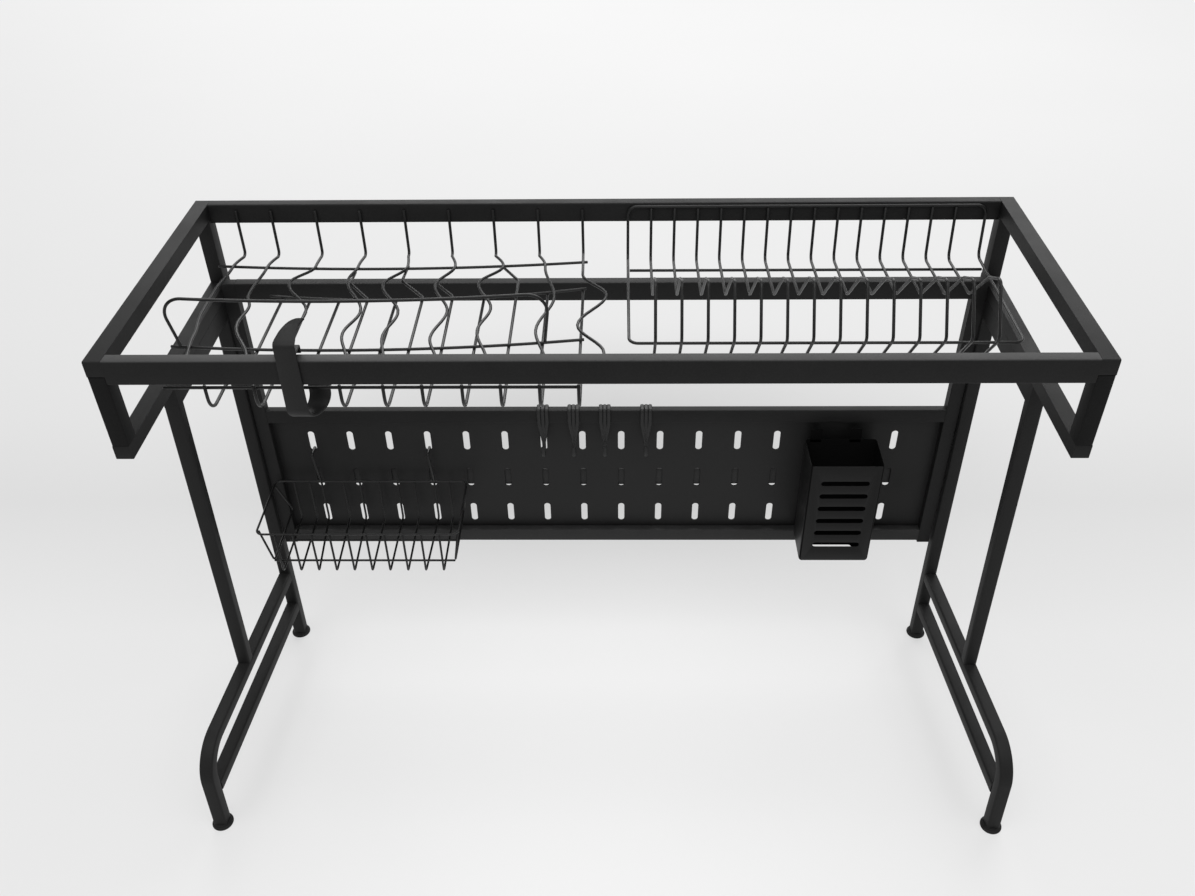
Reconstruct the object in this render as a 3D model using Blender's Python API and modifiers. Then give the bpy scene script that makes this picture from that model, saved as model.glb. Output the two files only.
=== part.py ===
# Over sink dish rack: a tube frame on two leg frames, with a bowl rack and a plate rack of bent wire
# set into it, and a slotted panel at the back that carries a wire basket, a cutlery holder and hooks.
# Metres. X runs along the rack, Y towards the back, Z up, with the origin on the floor in the middle.

import math

import bmesh
import bpy
from mathutils import Matrix, Vector

# Whole object
FRAME_WIDTH = 0.850
FRAME_DEPTH = 0.3056
FRAME_HEIGHT = 0.6255
GAP = 0.0003
EDGE_RADIUS = 0.0015
EDGE_STEPS = 1
WELD_DISTANCE = 0.00001
MITRE_LIMIT = 0.5
SMOOTH_DEGREES = 40

# Upper frame
TUBE_WIDTH = 0.015
TOP_RAIL_HEIGHT = 0.016
LOWER_RAIL_HEIGHT = 0.0148
POST_DEPTH = 0.0175
LOOP_HEIGHT = 0.1028
RAIL_DEPTH = 0.012
FRONT_RAIL_HEIGHT = 0.0235
REAR_RAIL_HEIGHT = 0.02075

# Leg frames
LEG_TOP_HEIGHT = 0.022
LEG_TOP_INSET = 0.0196
LEG_FRONT_SHARE = 0.3534
FRONT_LEG_DEPTH = 0.013
FRONT_LEG_LEAN = 0.0084
REAR_LEG_DEPTH = 0.015
REAR_LEG_SPLAY = 0.003
REAR_LEG_LEAN = 0.004
FOOT_TUBE_DEPTH = 0.014
FOOT_TUBE_RISE = 0.1175
FOOT_TUBE_RADIUS = 0.039
FOOT_TUBE_STEPS = 8
FOOT_TUBE_FRONT = -0.0135
FOOT_TUBE_REACH = 0.007
TOE_OUT_SHARE = 0.0792
STRETCHER_RISE = 0.063
STRETCHER_HEIGHT = 0.0145
FOOT_RADIUS = 0.012
FOOT_NECK_RADIUS = 0.0095
FOOT_HEIGHT = 0.005
FOOT_LIP = 0.0022
FOOT_EDGE = 0.0008
FOOT_STEPS = 12

# Back module
MODULE_INSET = 0.0306
MODULE_SIDE_WIDTH = 0.0144
MODULE_SIDE_DEPTH = 0.012
MODULE_TOP = 0.083
MODULE_BOTTOM = 0.459
LOWER_REAR_RAIL_HEIGHT = 0.0215
LOWER_REAR_RAIL_DEPTH = 0.0125
PANEL_TUBE_DEPTH = 0.010
PANEL_TUBE_HEIGHT = 0.0176
PANEL_TOP = 0.2515
PANEL_BOTTOM = 0.4556
SHEET_THICKNESS = 0.0015
SHEET_LAP = 0.0066
SLOT_WIDTH = 0.009
SLOT_HEIGHT = 0.0295
SLOT_COLUMNS = 16
SLOT_ROWS = 3
SLOT_END_SHARE = 1.022
SLOT_MIDDLE_X = -0.0036
SLOT_PITCH_Z = 0.05655
SLOT_FIRST_ROW = 0.3025
SLOT_ARC_STEPS = 4
CROSSBAR_TOP = 0.3465
CROSSBAR_HEIGHT = 0.024
CROSSBAR_DEPTH = 0.012

# Wire of the two racks
WIRE_RADIUS = 0.0015
WELD = 0.0006
BEND_STEPS = 2
RACK_TOP = 0.006

# Bowl rack: each long wire has a place as a share of the depth, a bow and a skew
BOWL_SIDE_MARGIN = 0.029
BOWL_LAST_X = -0.0205
BOWL_FIRST_GAP_SHARE = 0.786
BOWL_LEVEL = 0.056
BOWL_BEND = 0.008
LONG_WIRE_STEPS = 8
LONG_WIRE_MARGIN = 0.006
LONG_WIRE_END = -0.0155
REAR_LONG_WIRE = (0.8606, 0.010, 0.003)
MIDDLE_LONG_WIRE = (0.6545, 0.022, 0.0)
FRONT_LONG_WIRE = (0.3567, 0.012, 0.005)
MIDDLE_LONG_LEFT_SHARE = -0.815

# The turning points of each wavy wire: a share of the depth, and one of the sideways reach
WAVE_REACH_SHARE = 0.432
WAVE_STEPS = 3
WAVE_START_SHARE = 0.925
WAVE_TURNS = (
    ((0.86, -0.28), (0.70, -0.50), (0.56, -0.50), (0.42, -0.25), (0.275, 0.0)),
    ((0.86, -0.28), (0.68, -0.50), (0.59, -0.14), (0.50, -0.30), (0.275, 1.0)),
    ((0.86, -0.07), (0.755, -1.04), (0.56, 0.47), (0.42, 0.30), (0.275, 0.40)),
    ((0.86, -0.15), (0.775, -0.40), (0.56, 0.83), (0.435, 0.35), (0.275, 0.95)),
    ((0.86, 0.13), (0.74, -0.83), (0.55, 0.38), (0.42, -0.02), (0.275, 0.35)),
    ((0.86, 0.30), (0.735, -0.48), (0.56, 0.45), (0.41, -0.06), (0.275, 0.45)),
    ((0.86, 0.50), (0.745, -0.60), (0.58, 0.24), (0.45, -0.22), (0.275, 0.45)),
    ((0.86, 0.37), (0.65, 0.99), (0.45, 0.25), (0.275, 0.80)),
    ((0.80, 0.03), (0.665, 1.27), (0.48, -0.09), (0.32, 1.20), (0.275, 1.22)),
)

# The straight tray wires: shares of the inner half width at the back and at the lip
TRAY_SHARES = (
    (-0.046, -0.041),
    (-0.133, -0.122),
    (-0.210, -0.203),
    (-0.288, -0.283),
    (-0.362, -0.366),
    (-0.437, -0.447),
    (-0.502, -0.537),
    (-0.572, -0.590),
    (-0.642, -0.650),
    (-0.714, -0.716),
    (-0.784, -0.818),
)
SHORT_TRAY_WIRE = 7
SHORT_WIRE_END_SHARE = 0.105
# Wires that start beside an upright: shares of the inner half width and of the depth
TRAY_BRANCHES = {
    2: ((-0.252, 0.884), (-0.210, 0.795)),
    4: ((-0.410, 0.767), (-0.366, 0.692)),
    5: ((-0.499, 0.900), (-0.504, 0.795), (-0.439, 0.686)),
    7: ((-0.630, 0.857), (-0.632, 0.779), (-0.573, 0.674)),
}
TRAY_BRANCH_BEND = 0.009
TRAY_OVERRUN = 0.001
TRAY_TURN_BACK_SHARE = 0.327
TRAY_TURN_FRONT_SHARE = 0.18
LIP_BEND = 0.011
LIP_STEPS = 3
LIP_DEPTH = 0.037
LIP_TIP = 0.033
LIP_LEFT_SHARE = -0.907
FENCE_RIGHT = -0.046
FENCE_TOP = 0.005
FENCE_BEND = 0.020
FENCE_LEFT_SLANT = 0.010
FENCE_RIGHT_SLANT = 0.006
FENCE_FRONT = 0.003

# Plate rack: its profile's corners are a share of the depth, a height and a bend
PLATE_FIRST_X = 0.0267
PLATE_SIDE_MARGIN = 0.015
PLATE_LAST_GAP_SHARE = 1.282
PLATE_WIRES = 14
PLATE_TOP = 0.003
PLATE_LEVEL = 0.0585
PLATE_BACK_INSET = 0.0206
PLATE_FRONT_SHARE = 0.3861
PLATE_CORNER = 0.009
PLATE_REAR_WIRE_SHARE = 0.8573
PLATE_FLOOR = 0.061
PLATE_PROFILE = (
    (0.6414, -0.0555, 0.020),
    (0.5236, -0.0065, 0.016),
    (0.3960, 0.0005, 0.009),
    (0.3321, -0.0455, 0.007),
    (0.4565, -0.0925, 0),
)

# Wire basket
BASKET_WIRE = 0.00125
BASKET_PITCHES = 5.05
BASKET_SHIFT = -0.0038
BASKET_DEPTH = 0.0955
BASKET_TOP = 0.356
BASKET_HEIGHT = 0.0585
BASKET_CORNER = 0.008
BASKET_RIBS = 10
BASKET_RIB_SHARE = 0.0904
BASKET_RAIL_DROP = 0.0455
BASKET_END_LEAN = 0.007
BASKET_SLOTS = (0, 3)
BASKET_HOOK_DROP = 0.009
BASKET_HOOK_BEND = 0.003
BASKET_RIB_BEND = 0.004

# Cutlery holder
HOLDER_WIDTH = 0.084
HOLDER_DEPTH = 0.0525
HOLDER_HEIGHT = 0.1485
HOLDER_SHIFT = 0.004
HOLDER_TOP = 0.2925
HOLDER_WALL = 0.0015
HOLDER_CORNER = 0.004
HOLDER_CORNER_STEPS = 1
HOLDER_SLOTS = 6
HOLDER_SLOT_WIDTH = 0.056
HOLDER_SLOT_HEIGHT = 0.0055
HOLDER_SLOT_PITCH = 0.0191
HOLDER_FIRST_SLOT = 0.0255
HOLDER_TAB_SLOTS = (13, 14)
HOLDER_TAB_WIDTH = 0.006
HOLDER_TAB_THICKNESS = 0.002
HOLDER_TAB_DROP = 0.008
CUT_OVERRUN = 0.002
UPWARD_LIMIT = 0.5
ROUND_PROFILE = 0.5

# Hooks on the panel's top tube
HOOK_WIRE = 0.0012
HOOK_SPREAD = 0.0056
HOOK_BACK_DROP = 0.009
HOOK_JOIN = 0.040
HOOK_SPREAD_END = 0.014
HOOK_BOTTOM = 0.0565
HOOK_TURN = 0.008
HOOK_BEND_SHARE = 0.98
HOOK_TIP_RISE = 0.009
HOOK_CORNER = 0.003
HOOK_BRIDGE_SHARE = 0.9
HOOK_STEPS = 2
HOOK_PLACE_SHARES = (-0.182, -0.0915, 0.001, 0.123)

# Band hook on the front rail
BAND_WIDTH = 0.0178
BAND_THICKNESS = 0.002
BAND_PLACE_SHARE = -0.6244
BAND_DRIFT_SHARE = 0.44
BAND_CREST = 0.0165
BAND_TIP_BACK = 0.0255
BAND_TIP_TOP = 0.0255
BAND_TIP_SHIFT = -0.0006
BAND_TIP_WIDTH = 0.003
BAND_TAPER_SHARE = 0.55
BAND_BOTTOM = 0.060
BAND_BACK = 0.0255
BAND_BACK_TOP = 0.032
BAND_FOLD = 0.005
BAND_CURL = 0.010
BAND_STEPS = 5

HALF_WIDTH = FRAME_WIDTH / 2
INNER_X = HALF_WIDTH - TUBE_WIDTH
MIDDLE_X = (INNER_X + HALF_WIDTH) / 2
MODULE_X = INNER_X - GAP - MODULE_SIDE_WIDTH
PANEL_X = MODULE_X - GAP
REAR_RAIL_Y = FRAME_DEPTH - RAIL_DEPTH
RACK_BACK_Y = REAR_RAIL_Y - GAP - WIRE_RADIUS
RACK_FRONT_Y = RAIL_DEPTH + GAP + WIRE_RADIUS
LEG_TOP_BACK = FRAME_DEPTH - LEG_TOP_INSET
LEG_FRONT = FRAME_DEPTH * LEG_FRONT_SHARE
LEG_TOP_Z = -LOOP_HEIGHT - GAP - LEG_TOP_HEIGHT
REAR_LEG_Y = LEG_TOP_BACK - REAR_LEG_DEPTH
REAR_LEG_MIDDLE = LEG_TOP_BACK - REAR_LEG_DEPTH / 2
FOOT_TOP_Z = FOOT_HEIGHT - FRAME_HEIGHT
FOOT_TUBE_Z = FOOT_TUBE_RISE - FRAME_HEIGHT
STRETCHER_Z = STRETCHER_RISE - FRAME_HEIGHT
FRONT_FOOT_Y = FOOT_TUBE_FRONT - FOOT_TUBE_REACH
MIDDLE_Y = (FRAME_DEPTH + FRONT_FOOT_Y - FOOT_RADIUS) / 2
MODULE_FRONT = FRAME_DEPTH - MODULE_INSET
SHEET_FRONT_Y = MODULE_FRONT + PANEL_TUBE_DEPTH + GAP
SHEET_BACK_Y = SHEET_FRONT_Y + SHEET_THICKNESS
SLOT_PITCH_X = 2 * PANEL_X / (SLOT_COLUMNS - 1 + 2 * SLOT_END_SHARE)
SLOT_SILL = SLOT_FIRST_ROW + SLOT_HEIGHT / 2
WELD_STEP = 2 * WIRE_RADIUS - WELD
REST_STEP = 2 * WIRE_RADIUS + GAP
BOWL_WIRES = len(WAVE_TURNS)
BOWL_SPAN = INNER_X - BOWL_SIDE_MARGIN + BOWL_LAST_X
BOWL_PITCH = BOWL_SPAN / (BOWL_WIRES - 2 + BOWL_FIRST_GAP_SHARE)
WAVE_REACH = BOWL_PITCH * WAVE_REACH_SHARE
TRAY_LEVEL = -BOWL_LEVEL - WELD_STEP - REST_STEP
LONG_WIRE_LEFT = LONG_WIRE_MARGIN - INNER_X
PLATE_LAST_X = INNER_X - PLATE_SIDE_MARGIN
PLATE_PITCH = (PLATE_LAST_X - PLATE_FIRST_X) / (PLATE_WIRES + PLATE_LAST_GAP_SHARE)
PLATE_BEND_BACK = FRAME_DEPTH - PLATE_BACK_INSET
BASKET_LENGTH = SLOT_PITCH_X * BASKET_PITCHES

COLOURS = {
    "black_powder_coat": ((0.020, 0.020, 0.021, 1.0), 0.45, 0.55),
    "black_wire_coat": ((0.016, 0.016, 0.017, 1.0), 0.38, 0.35),
    "black_sheet_coat": ((0.018, 0.018, 0.019, 1.0), 0.50, 0.50),
    "black_rubber": ((0.012, 0.012, 0.012, 1.0), 0.80, 0.0),
}


def clear_scene():
    for obj in list(bpy.data.objects):
        bpy.data.objects.remove(obj, do_unlink=True)
    for mesh in list(bpy.data.meshes):
        bpy.data.meshes.remove(mesh)


def new_collection(name):
    collection = bpy.data.collections.new(name)
    bpy.context.scene.collection.children.link(collection)
    return collection


def new_material(name, finish):
    colour, roughness, metallic = COLOURS[finish]
    material = bpy.data.materials.new(name + "_" + finish)
    material.use_nodes = True
    shader = material.node_tree.nodes["Principled BSDF"]
    shader.inputs["Base Color"].default_value = colour
    shader.inputs["Roughness"].default_value = roughness
    shader.inputs["Metallic"].default_value = metallic
    material.diffuse_color = colour
    return material


clear_scene()
PARTS = new_collection("over_sink_dish_rack")
CUTTERS = new_collection("cutters")


def new_empty(name, place, parent=None):
    empty = bpy.data.objects.new(name, None)
    empty.location = place
    empty.parent = parent
    PARTS.objects.link(empty)
    return empty


# The frame's own origin: front face of the front rail, top of the frame, middle of its length
FRAME = new_empty("frame_origin", (0, -MIDDLE_Y, FRAME_HEIGHT))


def finish_piece(obj, finish, parent, smooth=False):
    obj.data.materials.clear()
    obj.data.materials.append(new_material(obj.name, finish))
    obj.parent = parent
    PARTS.objects.link(obj)
    if smooth:
        obj.data.shade_smooth()
        obj.data.set_sharp_from_angle(angle=math.radians(SMOOTH_DEGREES))
    return obj


def mesh_object(name, shape):
    mesh = bpy.data.meshes.new(name)
    shape.to_mesh(mesh)
    shape.free()
    return bpy.data.objects.new(name, mesh)


def cube_shape(size):
    shape = bmesh.new()
    bmesh.ops.create_cube(shape, size=1, matrix=Matrix.Diagonal((*size, 1)))
    return shape


def add_bevel(obj, width, steps=EDGE_STEPS):
    bevel = obj.modifiers.new("edges", "BEVEL")
    bevel.width = width
    bevel.segments = steps
    bevel.limit_method = "ANGLE"


def block(name, x_range, y_range, z_range, finish="black_powder_coat", parent=FRAME):
    spans = (x_range, y_range, z_range)
    obj = mesh_object(name, cube_shape([max(span) - min(span) for span in spans]))
    obj.location = [sum(span) / 2 for span in spans]
    add_bevel(obj, EDGE_RADIUS)
    return finish_piece(obj, finish, parent)


def leaning_block(name, size, low, high, finish="black_powder_coat"):
    """A tube of the section size whose ends, centred on low and high, stay level."""
    width, depth = size
    low, high = Vector(low), Vector(high)
    shape = cube_shape((width, depth, high.z - low.z))
    lean = (high - low) / (high.z - low.z)
    for vertex in shape.verts:
        vertex.co.xy += lean.xy * vertex.co.z
    obj = mesh_object(name, shape)
    obj.location = (low + high) / 2
    add_bevel(obj, EDGE_RADIUS)
    return finish_piece(obj, finish, FRAME)


def rounded(corners, steps=BEND_STEPS, closed=False):
    """The points of a path whose corners, each given with a radius, are arcs."""
    places = [Vector(place) for place, _ in corners]
    path = []
    for i, (place, (_, radius)) in enumerate(zip(places, corners)):
        if radius == 0:
            path.append(place)
            continue
        before = (places[i - 1] - place).normalized()
        after = (places[(i + 1) % len(places)] - place).normalized()
        half = before.angle(after) / 2
        centre = place + (before + after).normalized() * (radius / math.sin(half))
        start = place + before * (radius / math.tan(half)) - centre
        end = place + after * (radius / math.tan(half)) - centre
        turn = start.angle(end)
        for step in range(steps + 1):
            share = step / steps
            mixed = start * math.sin((1 - share) * turn) + end * math.sin(share * turn)
            path.append(centre + mixed / math.sin(turn))
    return path


def curve_data(name, splines, flat, closed):
    data = bpy.data.curves.new(name, "CURVE")
    data.dimensions = "2D" if flat else "3D"
    for points in splines:
        spline = data.splines.new("POLY")
        spline.points.add(len(points) - 1)
        for target, point in zip(spline.points, points):
            target.co = (*point, 0, 1) if flat else (*point, 1)
        spline.use_cyclic_u = closed
    return data


def solid_from_curve(name, data, turn=None):
    """A mesh object of the curve, with the caps joined to the sides."""
    curve = bpy.data.objects.new(name + "_curve", data)
    bpy.context.scene.collection.objects.link(curve)
    graph = bpy.context.evaluated_depsgraph_get()
    mesh = bpy.data.meshes.new_from_object(curve.evaluated_get(graph))
    bpy.data.objects.remove(curve, do_unlink=True)
    shape = bmesh.new()
    shape.from_mesh(mesh)
    bpy.data.meshes.remove(mesh)
    bmesh.ops.remove_doubles(shape, verts=shape.verts, dist=WELD_DISTANCE)
    if turn is not None:
        bmesh.ops.transform(shape, matrix=turn, verts=shape.verts)
    bmesh.ops.recalc_face_normals(shape, faces=shape.faces)
    return mesh_object(name, shape)


def wire(name, points, radius=WIRE_RADIUS, closed=False):
    data = curve_data(name, [points], flat=False, closed=closed)
    data.bevel_depth = radius
    data.bevel_resolution = 1
    data.use_fill_caps = True
    return solid_from_curve(name, data)


# Maps an outline drawn as (Y, Z) and extruded to the frame's axes
UPRIGHT = Matrix(((0, 0, 1, 0), (1, 0, 0, 0), (0, 1, 0, 0), (0, 0, 0, 1)))
# Maps an outline drawn as (X, Z) and extruded to the frame's axes
FACING = Matrix(((1, 0, 0, 0), (0, 0, -1, 0), (0, 1, 0, 0), (0, 0, 0, 1)))


def slab(name, outlines, thickness, turn, edge=0.0):
    """A solid of the flat outlines, the inner ones holes, extruded and turned upright."""
    data = curve_data(name, outlines, flat=True, closed=True)
    data.fill_mode = "BOTH"
    data.extrude = thickness / 2 - edge
    if edge:
        data.bevel_depth = edge
        data.bevel_resolution = 1
        data.offset = -edge
    return solid_from_curve(name, data, turn)


def strip_outline(path, thickness, level_end=False):
    """The outline of a strip of even thickness along a flat path, its last end cut square or level."""
    sides = ([], [])
    for i, point in enumerate(path):
        along = (path[min(i + 1, len(path) - 1)] - path[max(i - 1, 0)]).normalized()
        across = Vector((-along.y, along.x)) * (thickness / 2)
        if level_end and i == len(path) - 1:
            across = Vector((thickness / 2 / abs(along.y), 0))
        if 0 < i < len(path) - 1:
            before = (point - path[i - 1]).normalized()
            across /= max(before.dot(along), MITRE_LIMIT)
        sides[0].append(point + across)
        sides[1].append(point - across)
    return [tuple(point) for point in sides[0] + sides[1][::-1]]


def shear_x(obj, share, from_y):
    """Moves the piece sideways in proportion to its distance in front of from_y."""
    for vertex in obj.data.vertices:
        vertex.co.x += share * (from_y - vertex.co.y)
    return obj


def fuse(name, pieces):
    """One closed solid of overlapping pieces, which are used up."""
    others = bpy.data.collections.new(name + "_pieces")
    bpy.context.scene.collection.children.link(others)
    base = pieces[0]
    bpy.context.scene.collection.objects.link(base)
    for piece in pieces[1:]:
        others.objects.link(piece)
    union = base.modifiers.new("union", "BOOLEAN")
    union.operation = "UNION"
    union.solver = "EXACT"
    union.operand_type = "COLLECTION"
    union.collection = others
    bpy.context.view_layer.update()
    graph = bpy.context.evaluated_depsgraph_get()
    mesh = bpy.data.meshes.new_from_object(base.evaluated_get(graph))
    mesh.name = name
    for piece in pieces:
        bpy.data.objects.remove(piece, do_unlink=True)
    bpy.data.collections.remove(others)
    return bpy.data.objects.new(name, mesh)


def side_range(sign, inner, outer):
    return (sign * inner, sign * outer)


def build_upper_frame():
    for side, sign in (("left", -1), ("right", 1)):
        across = side_range(sign, INNER_X, HALF_WIDTH)
        block("top_side_rail_" + side, across, (0, FRAME_DEPTH), (-TOP_RAIL_HEIGHT, 0))
        low = LOWER_RAIL_HEIGHT - LOOP_HEIGHT
        block("lower_side_rail_" + side, across, (0, FRAME_DEPTH), (-LOOP_HEIGHT, low))
        upright = (low + GAP, -TOP_RAIL_HEIGHT - GAP)
        block("front_post_" + side, across, (0, POST_DEPTH), upright)
        block("rear_post_" + side, across, (FRAME_DEPTH - POST_DEPTH, FRAME_DEPTH), upright)
    length = (GAP - INNER_X, INNER_X - GAP)
    block("front_rail", length, (0, RAIL_DEPTH), (-FRONT_RAIL_HEIGHT, 0))
    block("rear_rail", length, (REAR_RAIL_Y, FRAME_DEPTH), (-REAR_RAIL_HEIGHT, 0))


def toe_out(y):
    """How far a leg frame has moved outwards at y, from none at the rear leg."""
    return TOE_OUT_SHARE * (REAR_LEG_Y - y)


def leg_share(z):
    """How far down the rear leg z is, from 0 at its top to 1 at its foot."""
    return (LEG_TOP_Z - z) / (LEG_TOP_Z - FOOT_TOP_Z)


def rear_leg_front(z):
    return REAR_LEG_Y - REAR_LEG_LEAN * leg_share(z)


def foot_tube_path():
    level = FOOT_TUBE_Z - FOOT_TUBE_DEPTH / 2
    corners = (
        ((rear_leg_front(level) - GAP, level), 0),
        ((FOOT_TUBE_FRONT, level), FOOT_TUBE_RADIUS),
        ((FRONT_FOOT_Y, FOOT_TOP_Z + GAP), 0),
    )
    return rounded(corners, steps=FOOT_TUBE_STEPS)


def stretcher_front():
    """Where the back of the bent-down tube is at the stretcher's top edge, plus the gap."""
    start, end = foot_tube_path()[-2:]
    share = (start.y - STRETCHER_Z) / (start.y - end.y)
    centre = start.x + (end.x - start.x) * share
    lean = (start.x - end.x) / (start.y - end.y)
    return centre + FOOT_TUBE_DEPTH / 2 * math.hypot(1, lean) + GAP


def build_leg_frame(side, sign):
    across = side_range(sign, INNER_X, HALF_WIDTH)
    splayed = MIDDLE_X + REAR_LEG_SPLAY * leg_share(FOOT_TUBE_Z)
    beam = (LEG_TOP_Z, LEG_TOP_Z + LEG_TOP_HEIGHT)
    block("leg_top_tube_" + side, across, (LEG_FRONT, LEG_TOP_BACK), beam)
    rear_foot = (sign * (MIDDLE_X + REAR_LEG_SPLAY), REAR_LEG_MIDDLE - REAR_LEG_LEAN)
    leaning_block(
        "rear_leg_" + side,
        (TUBE_WIDTH, REAR_LEG_DEPTH),
        (*rear_foot, FOOT_TOP_Z + GAP),
        (sign * MIDDLE_X, REAR_LEG_MIDDLE, LEG_TOP_Z - GAP),
    )
    high_y = LEG_FRONT + FRONT_LEG_DEPTH / 2
    low_y = high_y + FRONT_LEG_LEAN
    leaning_block(
        "front_leg_" + side,
        (TUBE_WIDTH, FRONT_LEG_DEPTH),
        (sign * (splayed + toe_out(low_y)), low_y, FOOT_TUBE_Z + GAP),
        (sign * MIDDLE_X, high_y, LEG_TOP_Z - GAP),
    )
    outline = strip_outline(foot_tube_path(), FOOT_TUBE_DEPTH, level_end=True)
    tube = slab("foot_tube_" + side, [outline], TUBE_WIDTH, UPRIGHT, EDGE_RADIUS)
    shear_x(tube, sign * TOE_OUT_SHARE, REAR_LEG_Y)
    tube.location.x = sign * splayed
    finish_piece(tube, "black_powder_coat", FRAME)
    stretcher_z = STRETCHER_Z - STRETCHER_HEIGHT / 2
    stretcher_ends = (stretcher_front(), rear_leg_front(stretcher_z) - GAP)
    size = (TUBE_WIDTH, stretcher_ends[1] - stretcher_ends[0], STRETCHER_HEIGHT)
    stretcher = mesh_object("stretcher_" + side, cube_shape(size))
    stretcher_y = sum(stretcher_ends) / 2
    shear_x(stretcher, sign * TOE_OUT_SHARE, 0)
    stretcher.location = (sign * (splayed + toe_out(stretcher_y)), stretcher_y, stretcher_z)
    add_bevel(stretcher, EDGE_RADIUS)
    finish_piece(stretcher, "black_powder_coat", FRAME)
    build_foot("front_foot_" + side, sign * (splayed + toe_out(FRONT_FOOT_Y)), FRONT_FOOT_Y)
    build_foot("rear_foot_" + side, *rear_foot)


def build_foot(name, x, y):
    """A turned rubber glide with a wide lip on the floor and a neck against the tube."""
    profile = (
        (0, FOOT_HEIGHT),
        (FOOT_NECK_RADIUS, FOOT_HEIGHT),
        (FOOT_NECK_RADIUS, FOOT_LIP + FOOT_EDGE),
        (FOOT_RADIUS, FOOT_LIP),
        (FOOT_RADIUS, FOOT_EDGE),
        (FOOT_RADIUS - FOOT_EDGE, 0),
        (0, 0),
    )
    shape = bmesh.new()
    points = [shape.verts.new((radius, 0, height)) for radius, height in profile]
    for start, end in zip(points, points[1:]):
        shape.edges.new((start, end))
    obj = mesh_object(name, shape)
    screw = obj.modifiers.new("turn", "SCREW")
    screw.steps = screw.render_steps = FOOT_STEPS
    screw.use_merge_vertices = True
    screw.merge_threshold = WELD_DISTANCE
    obj.location = (x, y, -FRAME_HEIGHT)
    finish_piece(obj, "black_rubber", FRAME)


def obround(x, z, width, height):
    """A slot outline with two round ends, upright or lying by its two sizes."""
    radius = min(width, height) / 2
    reach = Vector((width / 2 - radius, height / 2 - radius))
    upright = height > width
    points = []
    for end in (1, -1):
        centre = Vector((x, z)) + reach * end
        start = (0 if upright else -math.pi / 2) + (0 if end == 1 else math.pi)
        for step in range(SLOT_ARC_STEPS + 1):
            angle = start + math.pi * step / SLOT_ARC_STEPS
            offset = Vector((math.cos(angle), math.sin(angle))) * radius
            points.append(tuple(centre + offset))
    return points


def slot_x(column):
    return SLOT_MIDDLE_X + (column - (SLOT_COLUMNS - 1) / 2) * SLOT_PITCH_X


def between_slots(columns):
    return sum(slot_x(column) for column in columns) / len(columns)


def build_back_module():
    for side, sign in (("left", -1), ("right", 1)):
        block(
            "module_side_tube_" + side,
            side_range(sign, MODULE_X, MODULE_X + MODULE_SIDE_WIDTH),
            (MODULE_FRONT, MODULE_FRONT + MODULE_SIDE_DEPTH),
            (-MODULE_BOTTOM, -MODULE_TOP),
        )
    length = (-PANEL_X, PANEL_X)
    rear_rail_y = (MODULE_FRONT, MODULE_FRONT + LOWER_REAR_RAIL_DEPTH)
    rear_rail_z = (-MODULE_TOP - LOWER_REAR_RAIL_HEIGHT, -MODULE_TOP)
    block("lower_rear_rail", length, rear_rail_y, rear_rail_z)
    tube_y = (MODULE_FRONT, MODULE_FRONT + PANEL_TUBE_DEPTH)
    block("panel_top_tube", length, tube_y, (-PANEL_TOP - PANEL_TUBE_HEIGHT, -PANEL_TOP))
    block("panel_bottom_tube", length, tube_y, (-PANEL_BOTTOM, PANEL_TUBE_HEIGHT - PANEL_BOTTOM))
    top = -PANEL_TOP - PANEL_TUBE_HEIGHT + SHEET_LAP
    bottom = -PANEL_BOTTOM + PANEL_TUBE_HEIGHT - SHEET_LAP
    sheet = [[(-PANEL_X, bottom), (PANEL_X, bottom), (PANEL_X, top), (-PANEL_X, top)]]
    for row in range(SLOT_ROWS):
        for column in range(SLOT_COLUMNS):
            z = -SLOT_FIRST_ROW - row * SLOT_PITCH_Z
            sheet.append(obround(slot_x(column), z, SLOT_WIDTH, SLOT_HEIGHT))
    panel = slab("slotted_panel", sheet, SHEET_THICKNESS, FACING)
    panel.location.y = (SHEET_FRONT_Y + SHEET_BACK_Y) / 2
    finish_piece(panel, "black_sheet_coat", FRAME)
    bar_y = (SHEET_BACK_Y + GAP, SHEET_BACK_Y + GAP + CROSSBAR_DEPTH)
    block("panel_crossbar", length, bar_y, (-CROSSBAR_TOP - CROSSBAR_HEIGHT, -CROSSBAR_TOP))


def long_wire_y(line, x):
    """Where a long wire of the bowl rack is at x: bent back towards its two ends."""
    place_share, reach, skew = line
    share = 2 * (x - LONG_WIRE_LEFT) / (LONG_WIRE_END - LONG_WIRE_LEFT) - 1
    return FRAME_DEPTH * place_share + reach * share * share + skew * share


def long_wire_points(left, right, line, z, forward=0.0):
    points = []
    for step in range(LONG_WIRE_STEPS + 1):
        x = left + (right - left) * step / LONG_WIRE_STEPS
        points.append((x, long_wire_y(line, x) - forward, z))
    return points


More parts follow.
